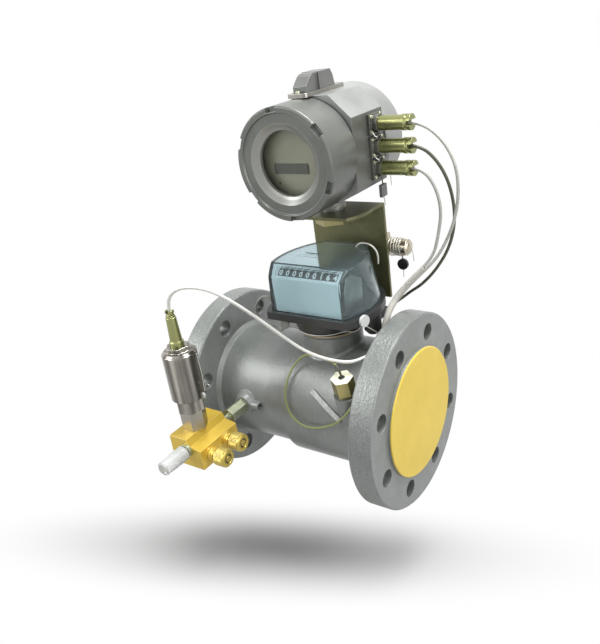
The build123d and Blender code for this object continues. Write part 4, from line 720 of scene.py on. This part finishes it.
finishes["clear_blue_plastic"] = clear("clear_blue_cover", (0.68, 0.795, 0.825), 0.05, 1.25, 0.95)
finishes["window_glass"] = clear("window_glass", (0.96, 0.98, 0.98), 0.0, 1.12)
finishes["white_plastic"] = clear("soft_white_cap", (0.66, 0.67, 0.66), 0.35, 1.3, 0.5)
print("finishes by slot:", len(finishes))

# %% [markdown]
# ### Dressing
# Each CAD node takes the finish of the slot that the record names for it, apart from the few with
# a finish of their own. The leads are new pieces, so theirs are given one by one.

# %% Dress the CAD nodes and the leads
slots = {entry["node"]: entry["material_slot"] for entry in frame["record"]["subparts"]}
own = {
    "display_plate": display_face, "front_cover": shaded_front_coat, "corrector_housing": housing_coat,
    "service_cap": cap_grey, "service_plate": dull_steel, "foot_nut": foot_brass,
    "neck_ring": neck_wire, "wire_seals": tag_tones, "back_connector": warm_steel,
    "temperature_gland": gland_brass, "sensor_adapter": dull_steel, "pressure_sensor": sensor_steel,
    "valve_knob_1": knob_brass, "valve_knob_2": knob_brass, "test_nipple": finishes["olive_zinc"],
}
for name, thing in nodes.items():
    thing.data.materials.clear()
    thing.data.materials.append(own.get(name) or finishes[slots[name]])
for piece, sheath in (
    (pressure_lead, finishes["white_lead"]), (temperature_lead, booted_lead), (pulse_lead, dark_lead),
    (top_lead, grey_lead), (bottom_lead, grey_lead), (sleeve, finishes["pale_sleeve"]),
):
    piece.data.materials.append(sheath)
print("dressed", len(nodes), "nodes,", len(own), "with a finish of their own")

# %% [markdown]
# ## Small parts
# Screws, knurls and marks are too fine for the CAD model. Modifiers on stock shapes could make many
# of them, but points set by code give each size exactly. So each is a mesh made by a short function,
# put where the real one sits, and riding on the body that carries it.

# %% Mesh helpers
def add_mesh(name, body, material, build, *values, **options):
    """Runs build on an empty bmesh and links the result as a riding piece."""
    shape = bmesh.new()
    build(shape, *values, **options)
    mesh = bpy.data.meshes.new(name)
    shape.to_mesh(mesh)
    shape.free()
    mesh.materials.append(material)
    piece = bpy.data.objects.new(name, mesh)
    bpy.context.scene.collection.objects.link(piece)
    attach(piece, body)
    print(name, "rides on", body, "with", len(mesh.polygons), "faces")


def facing(origin, direction):
    """A frame at origin whose Z points along direction."""
    z = Vector(direction).normalized()
    x = Vector((0, 0, 1)).cross(z)
    if x.length < 1e-4:
        x = Vector((0, 1, 0)).cross(z)
    x.normalize()
    y = z.cross(x)
    return Matrix.Translation(Vector(origin)) @ Matrix((x, y, z)).transposed().to_4x4()


def lathe(shape, matrix, profile, sides=48, wave=0.0, closed=False):
    """Adds a turned surface from (radius, height) pairs; wave cuts a knurl into it."""
    rings = []
    for radius, height in profile:
        ring = []
        for step in range(sides):
            angle = 2 * math.pi * step / sides
            reach = radius - wave * (step % 2)
            point = Vector((reach * math.cos(angle), reach * math.sin(angle), height))
            ring.append(shape.verts.new(matrix @ point))
        rings.append(ring)
    if closed:
        rings.append(rings[0])
    for lower, upper in zip(rings, rings[1:]):
        for step in range(sides):
            after = (step + 1) % sides
            shape.faces.new((lower[step], lower[after], upper[after], upper[step]))
    if not closed:
        shape.faces.new(list(reversed(rings[0])))
        shape.faces.new(rings[-1])


def slab(shape, matrix, width, depth, height, edge):
    """Adds a flat piece with bevelled edges, standing on the matrix's origin."""
    size = Matrix.Diagonal((width, depth, height, 1))
    made = bmesh.ops.create_cube(shape, size=1, matrix=matrix @ Matrix.Translation((0, 0, height / 2)) @ size)
    edges = list({e for v in made["verts"] for e in v.link_edges})
    bmesh.ops.bevel(shape, geom=edges, offset=edge, segments=2, affect="EDGES")


def wire(name, radius, points, material=seal_wire):
    """A stiff thin wire along a few points, fixed to the meter."""
    piece = smooth_bar(name, points, radius, 2, 6)
    piece.data.materials.append(material)
    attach(piece, "meter")
    print(name, "follows", len(points), "points")


# %% [markdown]
# ### Corrector screws
# Four small cap screws hold each plug socket, and one at each end the plate on the crown. The hole
# for the key could be cut out, but a turned profile that dips in the middle needs no cut.

# %% Screws on the corrector
plug_y = 0.035
plug_heights = (0.2765, 0.2562, 0.2359)
socket_face = 0.1975
screw_aside = 0.0084
screw_above = 0.0068
crown_top = 0.3118
crown_screws_y = (-0.0085, 0.0475)


def socket_screw(shape, matrix, radius, height):
    """A cap screw's head with the sunk socket for its key."""
    lathe(shape, matrix, [
        (radius, 0), (radius, height * 0.75), (radius * 0.86, height), (radius * 0.45, height),
        (radius * 0.42, height * 0.45),
    ], sides=24)


def all_screws(shape):
    """Twelve screws on the sockets and two on the crown plate."""
    for z in plug_heights:
        for side in (-1, 1):
            for level in (-1, 1):
                seat = (socket_face, plug_y + side * screw_aside, z + level * screw_above)
                socket_screw(shape, facing(seat, (1, 0, 0)), radius=0.0017, height=0.0014)
    for y in crown_screws_y:
        seat = (corrector_axis[0], y, crown_top)
        socket_screw(shape, facing(seat, (0, 0, 1)), radius=0.0022, height=0.0018)


add_mesh("corrector_screws", "meter", finishes["olive_zinc"], all_screws)

# %% [markdown]
# ### Display
# Behind the window sits the dark, glossy display glass, with two touch points below it. They could
# be painted on the plate, but as thin pieces they have their own gloss.

# %% Display glass and touch points
display_glass = finish(
    "display_glass", (0.04, 0.043, 0.03), (0.055, 0.058, 0.042), 0.12, specular=0.6, bump=0.0)
glass_seat = facing((0.1435, -0.0276, 0.2506), (0, -1, 0))
touch_points_x = (0.1285, 0.1655)
touch_z = 0.237
plate_front = -0.027
add_mesh("display_glass", "meter", display_glass, slab, glass_seat,
         width=0.0366, depth=0.0096, height=0.0004, edge=0.00012)
marks = finish("plate_marks", (0.045, 0.045, 0.035), (0.055, 0.055, 0.043), 0.5, bump=0.0)


def touch_dots(shape):
    """Two round touch points below the display."""
    for x in touch_points_x:
        seat = facing((x, plate_front, touch_z), (0, -1, 0))
        lathe(shape, seat, [(0.0012, 0), (0.0012, 0.0003), (0.0009, 0.0004)], 20)


add_mesh("touch_points", "meter", marks, touch_dots)

# %% [markdown]
# ### Wire round the foot
# A thin sealing wire is wound three times round the corrector's foot. A Screw modifier could wind
# it. Here its points are worked out, twelve to a turn and each a little higher, so it is a curve
# like the other wires.

# %% Wire round the foot
turn_points = 12
foot_turns = 3
foot_y = 0.025
foot_z = 0.2003
foot_reach = 0.0133
foot_rise = 0.0013
coil = []
for step in range(foot_turns * turn_points + 1):
    turn = step / turn_points * 2 * math.pi
    x = corrector_axis[0] + foot_reach * math.cos(turn)
    y = foot_y + foot_reach * math.sin(turn)
    coil.append((x, y, foot_z + foot_rise * step / turn_points))
wire("foot_wire", 0.00045, coil)

# %% [markdown]
# ### Valve knobs
# The hand knobs are knurled brass. Their teeth could be cut in CAD, but a turned band with every
# second point pulled in is enough, laid over each plain knob. A dark ring fills the groove of the
# knob's face and a dark slot crosses its middle, both painted shade in those hollows. All turn with
# the knob.

# %% Knurled bands and faces
knob_seat_x = 0.091
knob_height = 0.0139
knurl_depth = 0.0003
knurl = [(0.0086, 0.0016), (0.0091, 0.0022), (0.0091, 0.0112), (0.0086, 0.0118)]
groove = [(0.0033, 0.0126), (0.0045, 0.0126), (0.0045, 0.0129), (0.0033, 0.0129)]


def knob_face(shape, seat):
    """A dark ring of painted shade in the face's groove, and the dark slot in its middle."""
    lathe(shape, seat, groove, 48, closed=True)
    slot_seat = seat @ Matrix.Translation((0, 0, knob_height))
    slab(shape, slot_seat, width=0.0042, depth=0.0007, height=0.0002, edge=0.00005)


for body, y, z in (("knob_1", -0.1415, -0.0015), ("knob_2", -0.1175, 0.001)):
    seat = facing((knob_seat_x, y, z), (1, 0, 0))
    add_mesh(f"knurl_{body}", body, knob_brass, lathe, seat, knurl, 96, knurl_depth)
    add_mesh(f"face_{body}", body, painted_groove_shade, knob_face, seat)

# %% [markdown]
# ### Thread of the test point
# The soft cap leaves a few turns of the test point's thread in sight. At this size a thread looks
# the same as a row of ridges, so a turned zigzag profile stands for it between block and cap.

# %% Thread ridges
ridge_count = 4
pitch = 0.0013
thread_length = 0.0054
cap_low, cap_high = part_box("test_cap")
thread_x = (cap_low[0] + cap_high[0]) / 2
thread_z = (cap_low[2] + cap_high[2]) / 2
thread_seat = facing((thread_x, cap_high[1] + thread_length, thread_z), (0, -1, 0))
ridges = [(0.0049, 0.0)]
for turn in range(ridge_count):
    for ridge_radius, height in ((0.0051, 0.0002), (0.0058, 0.0008), (0.0051, 0.0014)):
        ridges.append((ridge_radius, height + pitch * turn))
ridges.append((0.0049, thread_length))
add_mesh("nipple_thread", "meter", dull_steel, lathe, thread_seat, ridges, 40)

# %% [markdown]
# ### Seals and their wires
# Lead and plastic seals hang on thin wires: on the sensor, under the index, round its neck, behind
# the bracket and at the plugs. Each wire starts on the piece that it seals. A physics run could
# hang them, but a few listed points give the bends that the photograph shows.

# %% Wires at the sensor and the index
index_x = 0.147
skirt_reach = 0.0374
skirt_start = 52
skirt_step = 16
skirt = [(0.2, -0.028, 0.1035), (0.195, -0.0275, 0.0965), (0.186, -0.025, 0.092)]
for step, z in enumerate((0.0905, 0.0893, 0.0885, 0.0882, 0.0882, 0.0884, 0.089)):
    angle = math.radians(skirt_start - skirt_step * step)
    skirt.append((index_x + skirt_reach * math.sin(angle), -skirt_reach * math.cos(angle), z))

wire("sensor_seal_wire", 0.0004, [
    (0.0732, -0.1235, 0.0985), (0.0738, -0.1235, 0.09), (0.0744, -0.1235, 0.076), (0.074, -0.1238, 0.064),
    (0.0735, -0.124, 0.0575),
])
wire("sensor_seal_tail", 0.0004, [
    (0.0738, -0.1239, 0.0575), (0.0755, -0.124, 0.064), (0.079, -0.124, 0.0675), (0.0822, -0.124, 0.0655),
])
wire("base_seal_wire", 0.0005, [
    (0.1155, -0.036, 0.1035), (0.1154, -0.036, 0.101), (0.1144, -0.036, 0.0985), (0.1141, -0.036, 0.097),
])
wire("skirt_wire", 0.0005, skirt)
wire("connector_wire", 0.0004, [
    (0.201, -0.0285, 0.1045), (0.2045, -0.024, 0.099), (0.207, -0.017, 0.0925), (0.206, -0.011, 0.0875),
])
wire("lid_wire", 0.0009, [
    (0.166, 0.03, 0.1576), (0.169, 0.03, 0.161), (0.175, 0.03, 0.163), (0.1835, 0.03, 0.1612),
    (0.1888, 0.03, 0.156), (0.1905, 0.03, 0.149), (0.1897, 0.03, 0.142),
])
wire("seal_strap", 0.0014, [
    (0.0985, -0.029, 0.1125), (0.095, -0.029, 0.1185), (0.0886, -0.029, 0.1201), (0.0811, -0.029, 0.116),
    (0.0745, -0.029, 0.1085), (0.0728, -0.029, 0.102), (0.074, -0.029, 0.096), (0.079, -0.029, 0.092),
    (0.086, -0.029, 0.089), (0.094, -0.029, 0.0855), (0.102, -0.03, 0.083), (0.108, -0.033, 0.0865),
    (0.1112, -0.0355, 0.0905),
], grey_plastic)

# %% [markdown]
# ### Wires behind and at the plugs
# The connector behind the bracket is wrapped in wire, a little unevenly, as a hand does it. Random
# numbers could give this, but a sine that doesn't fit the turns needs no seed.

# %% Wires behind and at the plugs
wrap_points = 60
wrap_x = 0.1855
wrap_y = 0.066
wrap_z = 0.1475
wrap_run = 0.015
wrap_reach = 0.0094
wrap_sway = 0.0004
wraps = []
for step in range(wrap_points + 1):
    turn = step / turn_points * 2 * math.pi
    reach = wrap_reach + wrap_sway * math.sin(step * 1.7)
    x = wrap_x + wrap_run * step / wrap_points
    wraps.append((x, wrap_y + reach * math.cos(turn), wrap_z + reach * math.sin(turn)))
wire("connector_wraps", 0.0005, wraps)
wire("connector_tail", 0.00045, [
    (0.2035, 0.066, 0.1565), (0.2075, 0.066, 0.1535), (0.21, 0.066, 0.144), (0.2108, 0.066, 0.133),
])
wire("black_tag_tail", 0.0004, [(0.198, 0.066, 0.124), (0.1982, 0.066, 0.1195), (0.1978, 0.066, 0.1145)])
wire("grey_tag_tail", 0.0005, [(0.1995, 0.035, 0.21), (0.1998, 0.0355, 0.206), (0.2, 0.036, 0.2005)])
for number, z in enumerate(plug_heights[:2]):
    wire(f"socket_wire_{number + 1}", 0.0004, [
        (0.1985, 0.0266, z - screw_above), (0.201, 0.024, z - 0.0092), (0.205, 0.025, z - 0.011),
        (0.201, 0.0255, z - 0.0125), (0.1985, 0.0266, z - 0.0135),
    ])
wire("socket_wire_end", 0.0004, [
    (0.2085, 0.035, 0.2304), (0.2086, 0.035, 0.225), (0.209, 0.035, 0.2195),
])

# %% [markdown]
# ### Lead and dark seals
# The sensor's seal is a crimped lead bead, and a dark disc hangs under the index. A ball squashed
# flat would do from afar, but it has no crimped rim, so both are small turned shapes.

# %% Lead and dark seals
bead = [(0.0016, -0.0012), (0.0027, -0.0008), (0.0032, 0.0), (0.0032, 0.001), (0.0027, 0.0018),
        (0.0016, 0.0022)]
disc = [(0.004, -0.0012), (0.0048, -0.0007), (0.0048, 0.0007), (0.004, 0.0012), (0.0014, 0.001)]
bead_seat = facing((0.0735, -0.1262, 0.0545), (0, -1, 0))
disc_seat = facing((0.1141, -0.036, 0.0945), (0.45, -0.893, 0))
add_mesh("lead_seal", "meter", lead_metal, lathe, bead_seat, bead, 28)
add_mesh("dark_seal", "meter", grey_plastic, lathe, disc_seat, disc, 32)

# %% [markdown]
# ### Marker strip
# A bare pale strip belongs to the olive lead and lies on the pipe. A Shrinkwrap modifier could press
# a flat strip down, but the bend is easily worked out: each row of points is placed by its distance
# along the pipe and its angle round it.

# %% Marker strip
strip_radius = 0.0668
strip_half_width = 0.0027
strip_thickness = 0.0007
strip_steps = 24
start_point = (0.1509, math.radians(33.2))
end_point = (0.1871, math.radians(12.8))
run = Vector((end_point[0] - start_point[0], (end_point[1] - start_point[1]) * strip_radius))
across = Vector((-run.y, run.x)).normalized()


def strip_rows(shape):
    """A thin strip laid on the cylinder of the outlet pipe."""
    rows = []
    for step in range(strip_steps + 1):
        share = step / strip_steps
        row = []
        for side, lift in ((-1, 0.0), (-1, strip_thickness), (1, strip_thickness), (1, 0.0)):
            x = start_point[0] + run.x * share + across.x * side * strip_half_width
            angle = start_point[1] + (run.y * share + across.y * side * strip_half_width) / strip_radius
            reach = strip_radius + lift
            row.append(shape.verts.new((x, -reach * math.cos(angle), reach * math.sin(angle))))
        rows.append(row)
    for first, second in zip(rows, rows[1:]):
        for corner in range(4):
            after = (corner + 1) % 4
            shape.faces.new((first[corner], first[after], second[after], second[corner]))
    shape.faces.new(rows[0])
    shape.faces.new(list(reversed(rows[-1])))


strip_white = finish("strip_white", (0.44, 0.45, 0.44), (0.64, 0.65, 0.64), 0.4, blotch=300.0, bump=0.1)
add_mesh("marker_strip", "meter", strip_white, strip_rows)

# %% [markdown]
# ### Gland mouth
# Where the lead leaves the brass gland, a black rubber ring closes the gap. In the gland's solid it
# would take the brass finish, so it is a turned piece of its own.

# %% Gland mouth
mouth = [(0.0031, 0.0), (0.0031, 0.0004), (0.0022, 0.0007), (0.0013, 0.0007)]
add_mesh("gland_mouth", "meter", finishes["black_plastic"], lathe, facing(gland_top, gland_axis), mouth, 28)

# %% [markdown]
# ### Index face
# The number window is framed by fine white lines printed on the leaning part of the faceplate. They
# could be drawn in its material, but thin strips are there in the exported meshes too. They are
# laid in a frame whose axes follow the lean.

# %% Window lines
slope = Vector((0, 13, 11)).normalized()
outward = Vector((0, -11, 13)).normalized()
fold_line = Vector((index_x, -0.03919, 0.14486))
lean = Matrix.Translation(fold_line) @ Matrix((Vector((1, 0, 0)), slope, outward)).transposed().to_4x4()
line_thickness = 0.00012
line_edges = (
    (-0.0372, -0.0085, 0.0012, 0.0024), (0.0022, 0.0372, 0.0012, 0.0024), (-0.0382, -0.0372, 0.0012, 0.015),
    (0.0372, 0.0382, 0.0012, 0.015), (-0.0372, 0.0372, 0.0141, 0.015),
)


def window_lines(shape):
    """Underlines left and right, side lines and the line above the window."""
    for left, right, low, high in line_edges:
        spot = lean @ Matrix.Translation(((left + right) / 2, (low + high) / 2, 0))
        slab(shape, spot, right - left, high - low, line_thickness, edge=0.00003)


print_white = finish("print_white", (0.74, 0.76, 0.76), (0.8, 0.82, 0.82), 0.4, bump=0.0)
add_mesh("window_lines", "meter", print_white, window_lines)

# %% [markdown]
# ### Number wheels
# Each drum carries the ten digits round its rim. They could be cut into its solid, but real ones
# are printed. A font gives the flat outline of a digit, which is cut into low bands and wrapped
# round the drum, so the digits turn with the wheels.

# %% Flat digits
digit_size = 0.0078
digit_boldness = 0.00022
lowest_cut = -0.001
band_height = 0.0004
cuts = 20


def digit_points(text):
    """One flat digit in low bands that can follow the drum, centred on its middle."""
    curve = bpy.data.curves.new("digit", "FONT")
    curve.body = text
    curve.size = digit_size
    curve.offset = digit_boldness
    curve.resolution_u = 3
    holder = bpy.data.objects.new("digit", curve)
    flat = bmesh.new()
    flat.from_mesh(bpy.data.meshes.new_from_object(holder))
    for cut in range(cuts):
        everything = list(flat.verts) + list(flat.edges) + list(flat.faces)
        height = lowest_cut + band_height * cut
        bmesh.ops.bisect_plane(flat, geom=everything, plane_co=(0, height, 0), plane_no=(0, 1, 0))
    flat.verts.index_update()
    places = [v.co.copy() for v in flat.verts]
    faces = [tuple(v.index for v in face.verts) for face in flat.faces]
    flat.free()
    bpy.data.objects.remove(holder)
    middle_x = (min(p.x for p in places) + max(p.x for p in places)) / 2
    middle_y = (min(p.y for p in places) + max(p.y for p in places)) / 2
    return [(p.x - middle_x, p.y - middle_y) for p in places], faces


outlines = [digit_points(str(value)) for value in range(10)]
print("flat digits:", len(outlines))

# %% Digits round the drums
axle_y = -0.023
axle_z = 0.1415
drum_radius = 0.01052
wheel_pitch = 0.0078
window_angle = math.radians(44)
digit_step = math.radians(36)
reading = [4, 6, 1, 0, 0, 0, 0, 0, 0]
middle_wheel = 4


def wrap_digits(shape, middle_x, shown):
    """Ten digits round a drum, the shown one in the window."""
    for value, (places, faces) in enumerate(outlines):
        base = window_angle + (value - shown) * digit_step
        verts = []
        for x, y in places:
            angle = base + y / drum_radius
            depth = axle_y - drum_radius * math.cos(angle)
            verts.append(shape.verts.new((middle_x + x, depth, axle_z + drum_radius * math.sin(angle))))
        for face in faces:
            shape.faces.new([verts[i] for i in face])


digit_white = finish("digit_white", (0.8, 0.8, 0.78), (0.84, 0.84, 0.82), 0.5, bump=0.0)
for wheel, shown in enumerate(reading):
    middle_x = index_x + (middle_wheel - wheel) * wheel_pitch
    add_mesh(f"digits_{wheel + 1}", f"number_{wheel + 1}", digit_white, wrap_digits, middle_x, shown)
